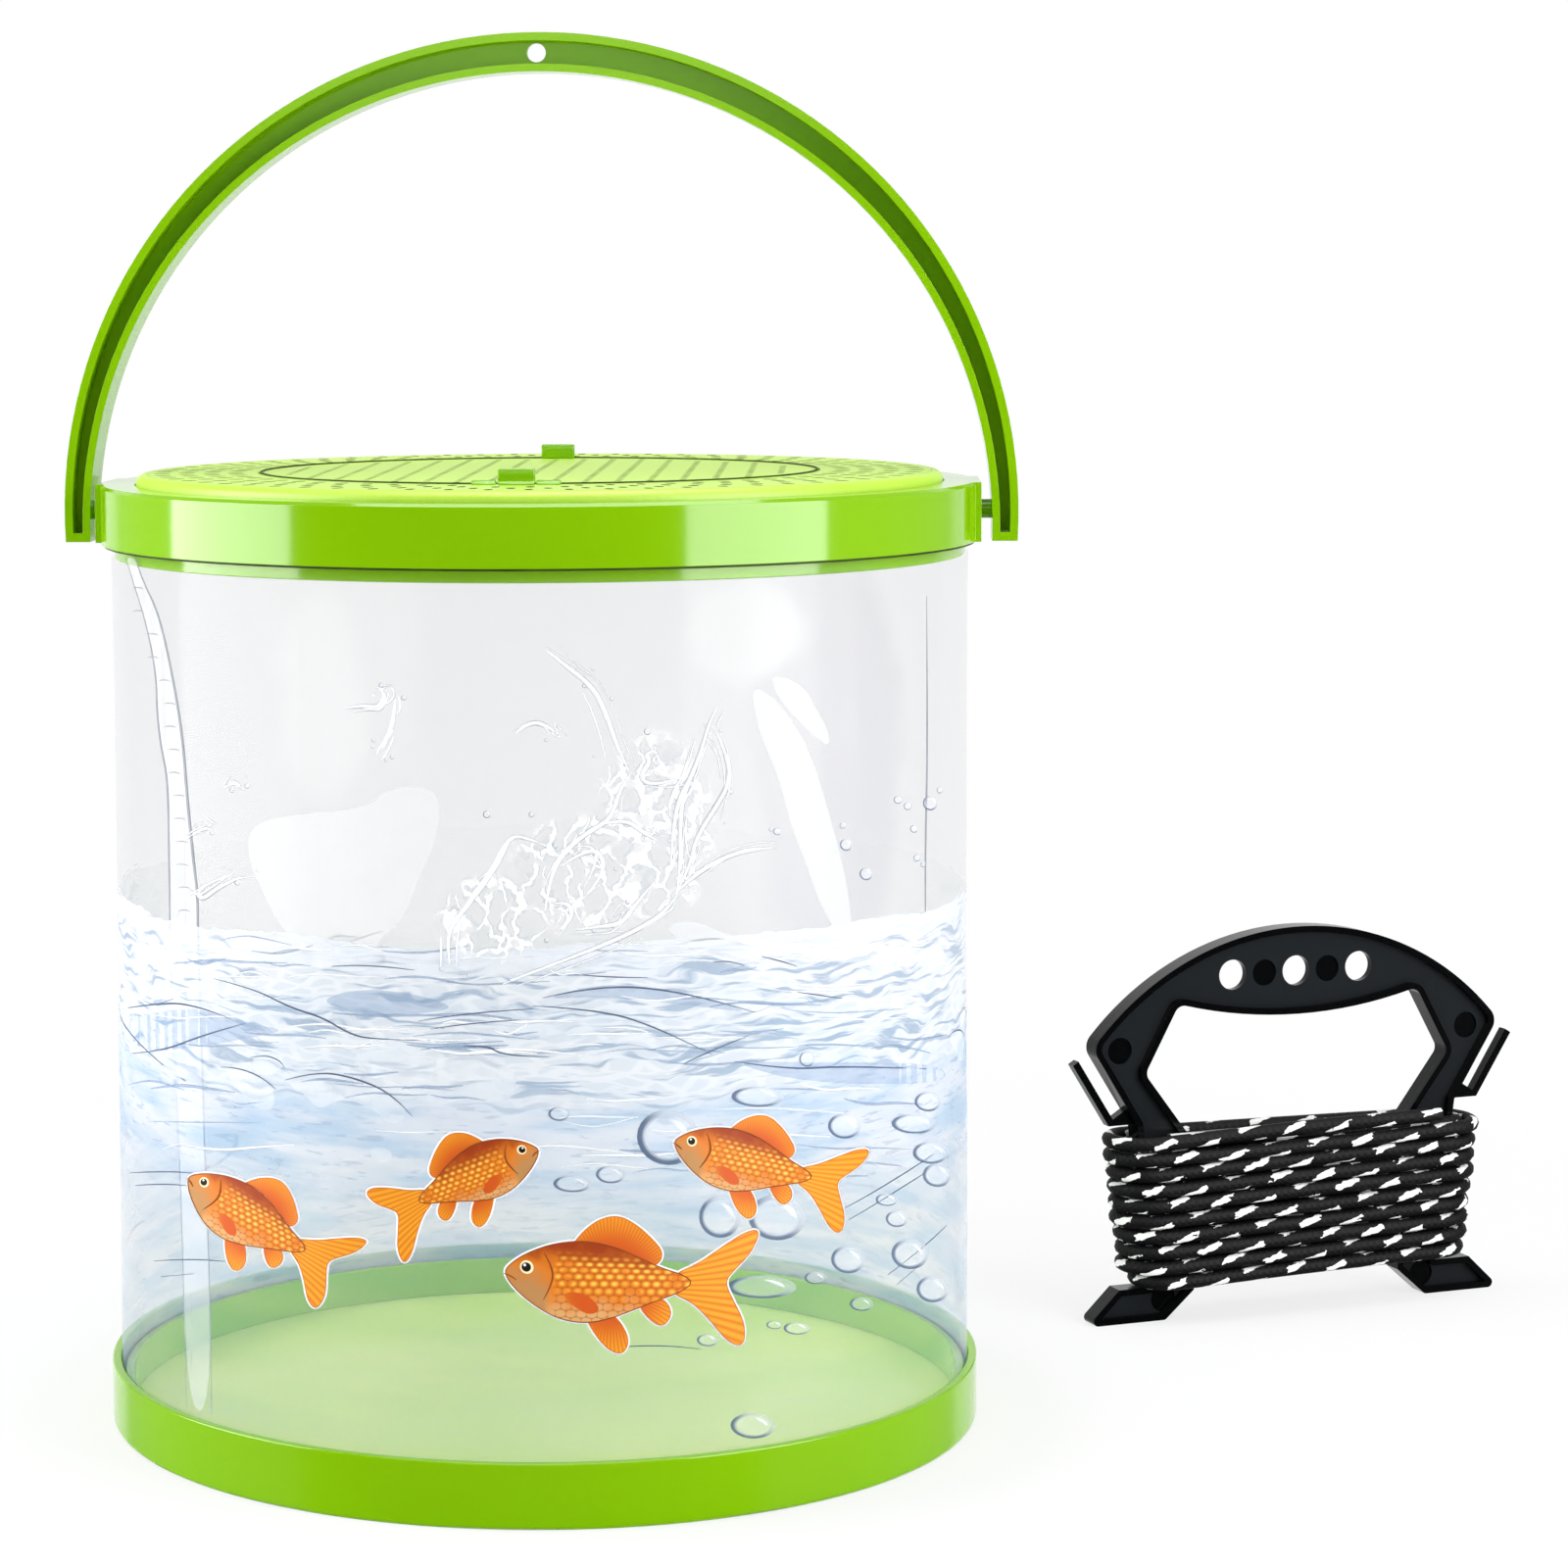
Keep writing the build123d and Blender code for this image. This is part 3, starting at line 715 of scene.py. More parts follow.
cover = add_node(tree, "Math", (film_edge, 0.35, 0.13), operation="MULTIPLY_ADD")
cover = add_node(tree, "Math", (
    cover, add_node(tree, "MapRange", (up, 299.5, 297.0), interpolation_type="SMOOTHSTEP"),
), operation="MULTIPLY")
cover = add_node(tree, "Math", (dark_right_oval, 0.06, cover), operation="MULTIPLY_ADD")
tree.links.new(add_node(tree, "Math", (cover, 0.03), operation="ADD"), shader.inputs["Alpha"])
film.data.materials.append(clear_pvc)
film.visible_shadow = False     # clear film lets the light through
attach(film, "base")
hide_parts("film_wall")
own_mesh(film)

# translucent PVC film, green: the round floor of the bag takes on the tray's green, and lies a
# little crumpled on it, in soft dents of 55 mm; its pale yellow-green is painted light, brighter
# than the shade inside the tank leaves it
green_film, tree, shader = new_material(
    "translucent PVC film, green, painted pale", {"Roughness": 0.3, "Alpha": 0.9}
)
place = add_node(tree, "TexCoord", out="Object")
crumple = add_node(tree, "TexNoise", {"Vector": place, "Scale": 18.0, "Detail": 3.0})
# painted light: a pale yellow-green that lifts the floor out of the shade inside the tank
floor_painted_light = add_node(
    tree, "Mix", {0: crumple, 6: linear("D4F56C"), 7: linear("E8FB98")}, out=2, data_type="RGBA"
)
tree.links.new(floor_painted_light, shader.inputs["Base Color"])
crumple_bump = add_node(tree, "Bump", {"Height": crumple, "Strength": 0.4, "Distance": 4 * MM})
tree.links.new(crumple_bump, shader.inputs["Normal"])
floor_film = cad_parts["film_floor"]
floor_film.data.materials.clear()
floor_film.data.materials.append(green_film)

# Printed water. White and pale blue inks on the film's outside, all round it, up to a foaming
# waterline at two thirds of its height. They are screen-printed before the film is welded, and
# it stays clear above them.
water_top = 200 * MM
water = rolled_sheet("water_print", 0.1 * MM, film_low.z + 1 * MM, water_top, 240, 60)

# screen-printed ink, water: a milky blue-white wash with fine blue streaks below, and above it
# white foam with slate ripples and a faint net of paler cells, up to a white crest
water_ink, tree, shader = new_material(
    "screen-printed ink, water", {"Roughness": 0.4, "Specular IOR Level": 0.1}
)
across, up = sheet_place(tree)
wash = round_noise(tree, across, up, 60, 8, 3.0)
streaks = round_noise(tree, across, up, 9, 1.5, 2.0)
swirl = round_noise(tree, across, up, 30, 14, 2.0)
angle = add_node(tree, "Math", (across, film_radius / MM), operation="DIVIDE")
cell_width, cell_height = 11, 3     # mm
cell_reach = film_radius / MM / cell_width
cell_east = add_node(tree, "Math", (
    add_node(tree, "Math", (angle,), operation="SINE"), cell_reach,
), operation="MULTIPLY")
cell_south = add_node(tree, "Math", (
    add_node(tree, "Math", (angle,), operation="COSINE"), cell_reach,
), operation="MULTIPLY")
cell_level = add_node(tree, "Math", (up, cell_height), operation="DIVIDE")
cell_level = add_node(tree, "Math", (swirl, 4.0, cell_level), operation="MULTIPLY_ADD")
net_place = add_node(tree, "CombineXYZ", (cell_east, cell_south, cell_level))
net = add_node(
    tree, "TexVoronoi", {"Vector": net_place, "Scale": 1.0}, out="Distance",
    feature="DISTANCE_TO_EDGE",
)
body = add_node(tree, "Mix", {
    0: add_node(tree, "MapRange", (wash, 0.38, 0.62), interpolation_type="SMOOTHSTEP"),
    6: linear("9CBFE2"),
    7: linear("DADFEE"),
}, out=2, data_type="RGBA")
streaked = add_node(tree, "Math", (
    add_node(tree, "MapRange", (streaks, 0.58, 0.68), interpolation_type="SMOOTHSTEP"), 0.5,
), operation="MULTIPLY")
body = add_node(tree, "Mix", {0: streaked, 6: body, 7: linear("6F92BC")}, out=2, data_type="RGBA")
ripple_up = add_node(tree, "Math", (swirl, 14.0, up), operation="MULTIPLY_ADD")
ripples = round_noise(tree, across, ripple_up, 24, 2.2, 4.0)
foam = add_node(tree, "Mix", {
    0: add_node(tree, "MapRange", (ripples, 0.52, 0.64), interpolation_type="SMOOTHSTEP"),
    6: linear("E9EDF5"),
    7: linear("8CA4C2"),
}, out=2, data_type="RGBA")
cells = add_node(tree, "Math", (
    add_node(tree, "MapRange", (net, 0.06, 0.2), interpolation_type="SMOOTHSTEP"), 0.22,
), operation="MULTIPLY")
foam = add_node(tree, "Mix", {0: cells, 6: foam, 7: linear("7F98B8")}, out=2, data_type="RGBA")
swell_up = add_node(tree, "Math", (swirl, 22.0, up), operation="MULTIPLY_ADD")
foam_low, foam_high = 134.0, 156.0      # mm up the film, where foam takes over from the wash
crest_low, crest_high = 186.0, 194.0    # and where its white crest starts
in_foam = add_node(
    tree, "MapRange", (swell_up, foam_low, foam_high), interpolation_type="SMOOTHSTEP"
)
mixed = add_node(tree, "Mix", {0: in_foam, 6: body, 7: foam}, out=2, data_type="RGBA")
in_crest = add_node(tree, "Math", (
    add_node(tree, "MapRange", (swell_up, crest_low, crest_high), interpolation_type="SMOOTHSTEP"),
    0.8,
), operation="MULTIPLY")
mixed = add_node(tree, "Mix", {0: in_crest, 6: mixed, 7: linear("E6EBF6")}, out=2, data_type="RGBA")
tree.links.new(mixed, shader.inputs["Base Color"])
edge_wave = add_node(tree, "Math", (wash, 12.0, up), operation="MULTIPLY_ADD")
edge_wave = add_node(tree, "Math", (streaks, 5.0, edge_wave), operation="MULTIPLY_ADD")
wet = add_node(tree, "MapRange", (edge_wave, 193.5, 192.5), interpolation_type="SMOOTHSTEP")
in_front = add_node(tree, "MapRange", (
    add_node(tree, "Math", (angle,), operation="COSINE"), -0.7, 0.5,
), interpolation_type="SMOOTHSTEP")
behind = add_node(tree, "Math", (1.0, in_front), operation="SUBTRACT")
front_share = add_node(tree, "Math", (in_front, 0.48), operation="MULTIPLY")
shallow = add_node(tree, "Math", (
    add_node(tree, "MapRange", (up, 135.0, 78.0), interpolation_type="SMOOTHSTEP"), front_share,
), operation="MULTIPLY")
back_share = add_node(tree, "Math", (behind, 0.545), operation="MULTIPLY")
thinned = add_node(tree, "Math", (
    add_node(tree, "MapRange", (up, 120.0, 150.0), interpolation_type="SMOOTHSTEP"), back_share,
), operation="MULTIPLY")
ink = add_node(tree, "Math", (
    add_node(tree, "Math", (0.58, shallow), operation="SUBTRACT"), thinned,
), operation="SUBTRACT")
tree.links.new(add_node(tree, "Math", (wet, ink), operation="MULTIPLY"), shader.inputs["Alpha"])
water.data.materials.append(water_ink)
water.visible_shadow = False    # the thin inks scatter the light on into the tank
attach(water, "base")
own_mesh(water)

# Drawing on the film. The waves, splashes, fish and bubbles are printed one ink over another.
# Each is drawn flat, in millimetres across and up, as it looks from in front of the tank, and
# then laid on the film. The drawing is a plain one of goldfish in water, made for this part.
drawing_eye = Vector((106.5, -1416.9, 392.1)) * MM      # the drawing is laid out for this place
ink_step = 0.04 * MM        # between one ink and the next, more than real ink, so that none sinks
bend_step = 3.0             # mm: flat shapes are cut into upright strips, which bend with the film
line_height = 0.1           # a drawn line is pressed flat to this share of its round section


def on_film(x, z, stand_off, turned):
    """Where a place of the flat drawing falls on the film, turned so far round the tank."""
    way = Vector((x * MM, -film_radius, z * MM)) - drawing_eye
    a = way.x**2 + way.y**2
    b = way.x * drawing_eye.x + way.y * drawing_eye.y
    c = drawing_eye.x**2 + drawing_eye.y**2 - film_radius**2
    reach = (-b - sqrt(max(b * b - a * c, 0.0))) / a
    hit = drawing_eye + reach * way
    angle = atan2(hit.x, -hit.y) + turned
    radius = film_radius + stand_off + film_swell(angle, hit.z)
    return radius * sin(angle), -radius * cos(angle), hit.z


def drawn(points, nib=0.0, closed=False, filled=False):
    """A flat mesh of one smooth shape, or of one line that thins out at its ends."""
    curve = bpy.data.curves.new("drawing", "CURVE")
    curve.dimensions = "2D" if filled else "3D"
    curve.fill_mode = "BOTH" if filled else "FULL"
    curve.resolution_u = 5
    line = curve.splines.new("NURBS")
    line.points.add(len(points) - 1)
    for i, (place, point) in enumerate(zip(points, line.points)):
        point.co = (*place, 0, 1)
        point.radius = 1.0 if closed else 0.3 + 0.7 * sin(pi * i / (len(points) - 1))
    line.use_cyclic_u = closed or filled
    line.order_u = 3
    line.use_endpoint_u = not line.use_cyclic_u
    curve.bevel_depth = nib
    curve.bevel_resolution = 0
    holder = bpy.data.objects.new("drawing", curve)
    mesh = bpy.data.meshes.new_from_object(holder)
    bpy.data.objects.remove(holder)
    return mesh


def disc(x, z, half_width, half_height):
    """A flat round or oval spot, with its own UV map from -1 to 1."""
    bm = bmesh.new()
    bmesh.ops.create_circle(bm, cap_ends=True, radius=1, segments=24)
    uv = bm.loops.layers.uv.new("own")
    for face in bm.faces:
        for loop in face.loops:
            loop[uv].uv = loop.vert.co.xy
    bmesh.ops.scale(bm, vec=(half_width, half_height, 1), verts=bm.verts)
    bmesh.ops.translate(bm, vec=(x, z, 0), verts=bm.verts)
    mesh = bpy.data.meshes.new("disc")
    bm.to_mesh(mesh)
    bm.free()
    return mesh


def mapped(mesh):
    """Gives a filled shape its flat drawing, in hundredths, as its UV map."""
    while mesh.uv_layers:
        mesh.uv_layers.remove(mesh.uv_layers[0])
    uv = mesh.uv_layers.new(name="own")
    for loop in mesh.loops:
        uv.data[loop.index].uv = mesh.vertices[loop.vertex_index].co.xy / 100
    return mesh


def printed(name, drawings, ink, order, turns=(0.0,)):
    """One ink's drawings as a piece on the film; a higher order lies over a lower one."""
    bm = bmesh.new()
    for drawing in drawings:
        bm.from_mesh(drawing)
    if all(abs(v.co.z) < 1e-6 for v in bm.verts):
        turned_over = [f for f in bm.faces if f.normal.z < 0]
        bmesh.ops.reverse_faces(bm, faces=turned_over)
        x = min(v.co.x for v in bm.verts) + bend_step
        last = max(v.co.x for v in bm.verts)
        while x < last:
            bmesh.ops.bisect_plane(
                bm, geom=bm.verts[:] + bm.edges[:] + bm.faces[:], dist=1e-4,
                plane_co=(x, 0, 0), plane_no=(1, 0, 0),
            )
            x += bend_step
    else:
        bmesh.ops.recalc_face_normals(bm, faces=bm.faces)
    once = bm.verts[:] + bm.edges[:] + bm.faces[:]
    copies = [bm.verts[:]]
    for _ in turns[1:]:
        twin = bmesh.ops.duplicate(bm, geom=once)["geom"]
        copies.append([v for v in twin if isinstance(v, bmesh.types.BMVert)])
    for turn, verts in zip(turns, copies):
        for vert in verts:
            proud = order * ink_step + vert.co.z * line_height * MM
            vert.co = on_film(vert.co.x, vert.co.y, proud, turn)
    piece = added_piece(name, bm, smooth=False)
    piece.data.materials.append(ink)
    piece.visible_shadow = False
    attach(piece, "base")
    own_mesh(piece)
    return piece


def flat_coat(name, light, dark, alpha=1.0):
    """One flat colour, a little uneven where the screen let less through; for printed inks, and
    also for the painted glare and the painted fold shade.
    """
    ink, tree, shader = new_material(
        name, {"Roughness": 0.45, "Specular IOR Level": 0.1, "Alpha": alpha}
    )
    place = add_node(tree, "TexCoord", out="Object")
    uneven = add_node(tree, "TexNoise", {"Vector": place, "Scale": 120.0, "Detail": 2.0})
    shade = add_node(
        tree, "Mix", {0: uneven, 6: linear(light), 7: linear(dark)}, out=2, data_type="RGBA"
    )
    tree.links.new(shade, shader.inputs["Base Color"])
    return ink


# welded PVC film: the weld is a strip of doubled film, a little milky, with grey pressed edges
# and a ladder of crimp marks down its upper half; a grey line down a fold on the right is painted
# shade in the crease
weld_left = [
    (-118, 306), (-116, 299), (-112, 286), (-109, 270), (-109, 258), (-108, 247), (-106, 237),
    (-106, 219), (-106, 203), (-106, 183), (-105, 150), (-104, 110), (-102.5, 37),
]
weld_right = [
    (-115, 306), (-113, 299), (-108, 289), (-104, 270), (-101, 250), (-100, 232), (-99, 220),
    (-98, 209), (-97, 201), (-97, 186), (-96, 150), (-96, 110), (-94.5, 35),
]
doubled_film = flat_coat("welded PVC film", "DADDE2", "E6E8EC", 0.35)
printed("weld_strip", [drawn(weld_left + weld_right[::-1], filled=True)], doubled_film, 0.5)
weld_and_fold_grey = flat_coat("pressed edge of the film, and painted fold shade", "8C919A", "A8ACB4", 0.8)
weld_marks_and_fold_shade = [drawn(weld_right, 0.45), drawn(weld_left, 0.3)]
crimp_count = 18
for i in range(crimp_count):
    share = (i + 0.5) / crimp_count
    at = min(int(share * 10), 9)
    x = (weld_left[at + 1][0] + weld_right[at + 1][0]) / 2
    z = 300 - share * 130
    weld_marks_and_fold_shade.append(drawn([(x - 1.6, z), (x + 0.4, z + 0.7), (x + 2.0, z - 0.3)], 0.22))
# painted shade: a grey line down the crease of a fold on the right
weld_marks_and_fold_shade.append(drawn([(129.9, 294), (130.4, 250), (129.6, 210), (130, 186)], 0.3))
printed("weld_edges_and_fold_shade", weld_marks_and_fold_shade, weld_and_fold_grey, 1)

# painted reflections: pale glassy patches on the film, where the lamps' glare lies on its soft
# waves
glare = [
    (-80, 223), (-65, 226), (-50, 227), (-42, 229), (-37, 234), (-26, 235), (-21, 231),
    (-21, 224), (-23, 215), (-28, 205), (-32, 193), (-40, 187), (-42, 181), (-60, 180),
    (-70, 189), (-76, 201), (-81, 212),
]
streak = [
    (76, 266), (81, 264), (87, 258), (93, 248), (97, 237), (101, 223), (104, 211), (106, 200),
    (107, 187), (103, 188), (97, 199), (93, 211), (88, 224), (85, 237), (78, 253),
]
small_streak = [
    (81, 269), (87, 269), (93, 265), (96, 259), (100, 252), (100, 247), (94, 252), (87, 259),
]
film_glare_ink = flat_coat("painted glare on PVC film", "F2F4F7", "ECEFF3", 0.3)
glare_patches = [drawn(shape, filled=True) for shape in (glare, streak, small_streak)]
printed("film_glare_patches", glare_patches, film_glare_ink, 2)

# waves: pale slate hollows, thin white foam, many fine slate and white strokes between them, and
# navy lines over all. Their inks are opaque, or let the water through where they are thin.
hollows = [
    [(-121, 162), (-110, 163), (-97, 165), (-84, 160), (-68, 158), (-82, 155), (-99, 152),
     (-118, 150)],
    [(10, 168), (28, 173), (45, 172), (58, 170), (78, 164), (60, 166), (42, 168), (26, 169)],
    [(70, 149), (88, 149), (108, 149), (134, 149), (137, 143), (112, 142), (94, 143), (82, 145)],
    [(-60, 167), (-48, 171), (-30, 170), (-14, 165), (-32, 163), (-46, 163)],
]
foam_caps = [
    [(-81, 149), (-73, 151), (-70, 146), (-75, 143), (-80, 144)],
    [(-90, 146), (-81, 145), (-74, 140), (-73, 133), (-79, 132), (-85, 139)],
    [(-70, 141), (-60, 144), (-48, 142), (-37, 138), (-31, 132), (-35, 127), (-42, 133), (-52, 137),
     (-59, 132), (-64, 138)],
    [(-44, 121), (-37, 121), (-36, 117), (-42, 116)],
    [(-124, 184), (-105, 185), (-80, 183), (-55, 181), (-28, 178), (-5, 181), (20, 182), (40, 188),
     (30, 181), (8, 176), (-30, 174), (-70, 179), (-124, 180)],
    [(48, 190), (57, 194), (72, 187), (100, 186), (138, 185), (138, 181), (100, 180), (64, 183)],
    [(-50, 150), (-38, 153), (-22, 149), (-8, 151), (4, 145), (0, 134), (-12, 138), (-24, 133),
     (-34, 142), (-44, 143)],
]
navy_lines = [
    [(-92, 174), (-79, 171), (-68, 165), (-58, 162), (-50, 157), (-43, 155), (-24, 155)],
    [(-55, 178), (-44, 179), (-29, 177)],
    [(-119, 150), (-108, 151), (-96, 156), (-82, 160)],
    [(-28, 161), (-12, 164), (8, 165)], [(-24, 158.5), (-10, 161), (4, 161.5)],
    [(-14, 153), (-7, 154), (-1, 150), (13, 150)],
    [(64, 180), (69, 181), (74, 179)], [(79, 182), (84, 181), (90, 179)],
    [(90, 171), (97, 170), (104, 169)], [(21, 176), (32, 175), (44, 175)],
    [(8, 166), (28, 165), (46, 160), (64, 151)], [(55, 148), (65, 153), (75, 157)],
    [(71, 149), (87, 146.5), (105, 148), (138, 147)],
    [(11, 168.5), (29, 173), (57, 170.5), (77, 164.5)],
    [(-123, 164), (-111, 166), (-98, 166), (-86, 161)],
    [(-81, 149), (-73, 151), (-70, 146)], [(-90, 146), (-80, 146), (-73, 139)],
    [(-70, 142), (-60, 145), (-48, 143), (-36, 138), (-30, 131)],
    [(-120, 112), (-108, 113), (-98, 112)], [(-118, 108), (-109, 109), (-101, 108)],
    [(-112, 84), (-101, 85), (-90, 84)], [(-110, 79), (-100, 80)], [(30, 58), (46, 60), (60, 58)],
]
round_sides = (pi * 0.62, -pi * 0.62, pi)
stroke_count = 110
sea = random.Random(5)
slate_lines, white_lines = [], []
for i in range(stroke_count):
    length = sea.uniform(9, 40)
    x = sea.uniform(-121, 137 - length)
    z = sea.choice((sea.uniform(150, 187), sea.uniform(112, 160)))
    lift = sea.uniform(-2.2, 2.2)
    fall = sea.uniform(-2.0, 2.0)
    line = [
        (x, z), (x + length * 0.3, z + lift), (x + length * 0.65, z + lift * 0.4),
        (x + length, z + fall),
    ]
    (slate_lines if i % 2 else white_lines).append(drawn(line, sea.uniform(0.2, 0.55)))
slate_ink = flat_coat("screen-printed ink, slate", "7F99BC", "A3B7D0", 0.42)
white_ink = flat_coat("screen-printed ink, white", "F4F6F9", "EAEDF2")
foam_ink = flat_coat("screen-printed ink, thin white", "EDF0F4", "E2E6EC", 0.35)
navy_ink = flat_coat("screen-printed ink, navy", "3E4C66", "5C6E8C")
printed("wave_hollows", [drawn(s, filled=True) for s in hollows], slate_ink, 3)
printed("foam_caps", [drawn(s, filled=True) for s in foam_caps], foam_ink, 4)
printed("wave_streaks", slate_lines, slate_ink, 5)
printed("foam_streaks", white_lines, white_ink, 6)
printed("wave_lines", [drawn(line, 0.28) for line in navy_lines], navy_ink, 7)
low_lines = [line for line in navy_lines if max(z for x, z in line) < 152]
low_caps = [drawn(s, filled=True) for s in foam_caps[:4]]
printed("foam_caps_behind", low_caps, foam_ink, 4, round_sides)
printed("wave_lines_behind", [drawn(line, 0.32) for line in low_lines], navy_ink, 5, round_sides)

# splashes: white strokes with a thin grey edge, thrown up from the waves
splashes = [
    [(13, 277), (19, 272), (27, 266), (31, 258), (35, 246), (38, 240)],
    [(65, 259), (63, 255), (60, 244), (55, 233), (54, 224), (54, 210), (53, 201)],
    [(65, 252), (69, 244), (69, 235), (64, 227), (59, 219), (57, 210), (53, 202)],
    [(61, 248), (58, 239), (54, 232), (52, 224), (51, 210)],
    [(46, 246), (43, 245), (45, 243), (41, 237), (47, 235), (55, 238)],
    [(38, 238), (35, 233), (33, 226), (30, 223), (23, 219), (16, 212), (13, 203), (12, 196)],
    [(13, 216), (6, 219), (1, 219), (-2, 212), (-8, 203), (-15, 194), (-19, 188), (-18, 179)],
    [(30, 223), (37, 225), (43, 220), (47, 218)], [(14, 198), (19, 199), (21, 194), (17, 190)],
    [(17, 210), (23, 214), (29, 215), (31, 208), (25, 201)],
    [(21, 190), (30, 191), (36, 192), (40, 198), (46, 205)],
    [(52, 201), (57, 206), (64, 211), (73, 215), (83, 216)],
    [(1, 174), (25, 183), (41, 190), (50, 196), (53, 201)],
    [(-50, 259), (-44, 260), (-39, 259), (-37, 264), (-39, 265)],
    [(-34, 262), (-35, 255), (-36, 251), (-40, 245)], [(-88, 234), (-85, 236), (-83, 235)],
    [(-97, 201), (-96, 198), (-90, 203), (-83, 206)], [(3, 251), (7, 255), (13, 254), (16, 251)],
    [(-98, 219), (-95, 222), (-92, 221)],
]
drops = [
    (121, 231, 1.3), (131, 230, 2.3), (134, 234, 1.0), (126, 222, 1.2), (127, 213, 1.1),
    (104, 223, 1.0), (105, 217, 1.9), (111, 208, 2.0), (129, 211, 0.9), (124, 229, 1.2),
    (84, 221, 1.2), (93, 150, 2.4), (-6, 226, 1.2), (8, 226, 0.9), (44, 252, 1.1),
]
main_nib = 0.8
side_strands = 5
spray = random.Random(11)
strands = []
spray_drops = []
for line in splashes:
    strands.append((line, main_nib))
    for _ in range(side_strands):
        first = spray.randrange(len(line) - 1)
        last = min(first + spray.randint(1, 3), len(line) - 1)
        aside = Vector((spray.uniform(-3.2, 3.2), spray.uniform(-2.2, 2.2)))
        beside = []
        for x, z in line[first:last + 1]:
            drift = Vector((spray.uniform(-1.0, 1.0), spray.uniform(-1.0, 1.0)))
            beside.append(tuple(Vector((x, z)) + aside + drift))
        if len(beside) == 2:
            (x, z), (x_end, z_end) = beside
            x_bent = (x + x_end) / 2 + spray.uniform(-2, 2)
            beside.insert(1, (x_bent, (z + z_end) / 2 + spray.uniform(-2, 2)))
        strands.append((beside, spray.uniform(0.22, 0.5)))
        if spray.random() < 0.6:
            x = beside[-1][0] + spray.uniform(-4, 4)
            z = beside[-1][1] + spray.uniform(-4, 4)
            spray_drops.append((x, z, spray.uniform(0.35, 0.9)))
edge_ink = flat_coat("screen-printed ink, grey", "949CA8", "AEB5BF", 0.5)
printed("splash_edges", [drawn(line, nib + 0.14) for line, nib in strands], edge_ink, 7)
printed("splashes", [drawn(line, nib) for line, nib in strands], white_ink, 8)

# screen-printed ink, spray: between the strokes the splash is a lace of fine white threads, with
# grey beside them, that thins out to nothing at its edge. Places and sizes are in hundredths.
lace_ink, tree, shader = new_material(
    "screen-printed ink, spray", {"Roughness": 0.45, "Specular IOR Level": 0.1}
)
own = add_node(tree, "UVMap", uv_map="own")
warp = add_node(tree, "TexNoise", {"Vector": own, "Scale": 9.0, "Detail": 3.0}, out="Color")
bent = add_node(tree, "VectorMath", (warp, (0.16, 0.16, 0), own), operation="MULTIPLY_ADD")
slanted = add_node(
    tree, "Mapping", {"Vector": bent, "Rotation": (0, 0, radians(25)), "Scale": (16, 9, 1)}
)
thread = add_node(
    tree, "TexVoronoi", {"Vector": slanted, "Scale": 1.0}, out="Distance",
    feature="DISTANCE_TO_EDGE",
)
broken = add_node(tree, "TexNoise", {"Vector": own, "Scale": 22.0, "Detail": 1.0})
kept = add_node(tree, "MapRange", (broken, 0.36, 0.5), interpolation_type="SMOOTHSTEP")
spray_ovals = (             # centre, half width and height
    ((0.46, 2.22, 0), (0.21, 0.33, 1)),
    ((0.24, 2.08, 0), (0.26, 0.20, 1)),
    ((-0.04, 1.94, 0), (0.20, 0.16, 1)),
)
reach = 9.0
for centre, half in spray_ovals:
    from_centre = add_node(tree, "VectorMath", (own, centre), operation="SUBTRACT")
    scaled = add_node(tree, "VectorMath", (from_centre, half), operation="DIVIDE")
    length = add_node(tree, "VectorMath", (scaled,), out="Value", operation="LENGTH")
    reach = add_node(tree, "Math", (reach, length), operation="MINIMUM")
inside = add_node(tree, "MapRange", (reach, 1.0, 0.6), interpolation_type="SMOOTHSTEP")
white_thread = add_node(tree, "MapRange", (thread, 0.1, 0.05), interpolation_type="SMOOTHSTEP")
beside_thread = add_node(tree, "MapRange", (thread, 0.2, 0.12), interpolation_type="SMOOTHSTEP")
shade = add_node(
    tree, "Mix", {0: white_thread, 6: linear("BCC3CC"), 7: linear("FFFFFF")}, out=2,
    data_type="RGBA",
)
tree.links.new(shade, shader.inputs["Base Color"])
shaded = add_node(tree, "Math", (beside_thread, 0.25), operation="MULTIPLY")
lace = add_node(tree, "Math", (white_thread, 0.7, shaded), operation="MULTIPLY_ADD")
lace = add_node(tree, "Math", (lace, kept, 0.12), operation="MULTIPLY_ADD")
tree.links.new(add_node(tree, "Math", (lace, inside), operation="MULTIPLY"), shader.inputs["Alpha"])
spray_outline = [
    (-26, 176), (-26, 212), (-2, 232), (20, 258), (70, 260), (72, 190), (40, 184), (0, 174),
]
printed("spray", [mapped(drawn(spray_outline, filled=True))], lace_ink, 6)

# screen-printed ink, bubbles: clear, with a slate rim that is darker at the lower left, and a
# white glint at the upper right
bubble_ink, tree, shader = new_material(
    "screen-printed ink, bubbles", {"Roughness": 0.4, "Specular IOR Level": 0.15}
)
own = add_node(tree, "UVMap")
out_from_middle = add_node(tree, "VectorMath", (own,), out="Value", operation="LENGTH")
toward_light = add_node(
    tree, "VectorMath", (own, (0.75, 0.65, 0)), out="Value", operation="DOT_PRODUCT"
)
rim = add_node(tree, "MapRange", (out_from_middle, 0.66, 0.88), interpolation_type="SMOOTHSTEP")
shaded = add_node(tree, "MapRange", (toward_light, 0.8, -0.3), interpolation_type="SMOOTHSTEP")
shade = add_node(tree, "Math", (shaded, 0.7, 0.3), operation="MULTIPLY_ADD")
rim_dark = add_node(tree, "Math", (rim, shade), operation="MULTIPLY")
glint = add_node(tree, "MapRange", (toward_light, 0.35, 0.55), interpolation_type="SMOOTHSTEP")
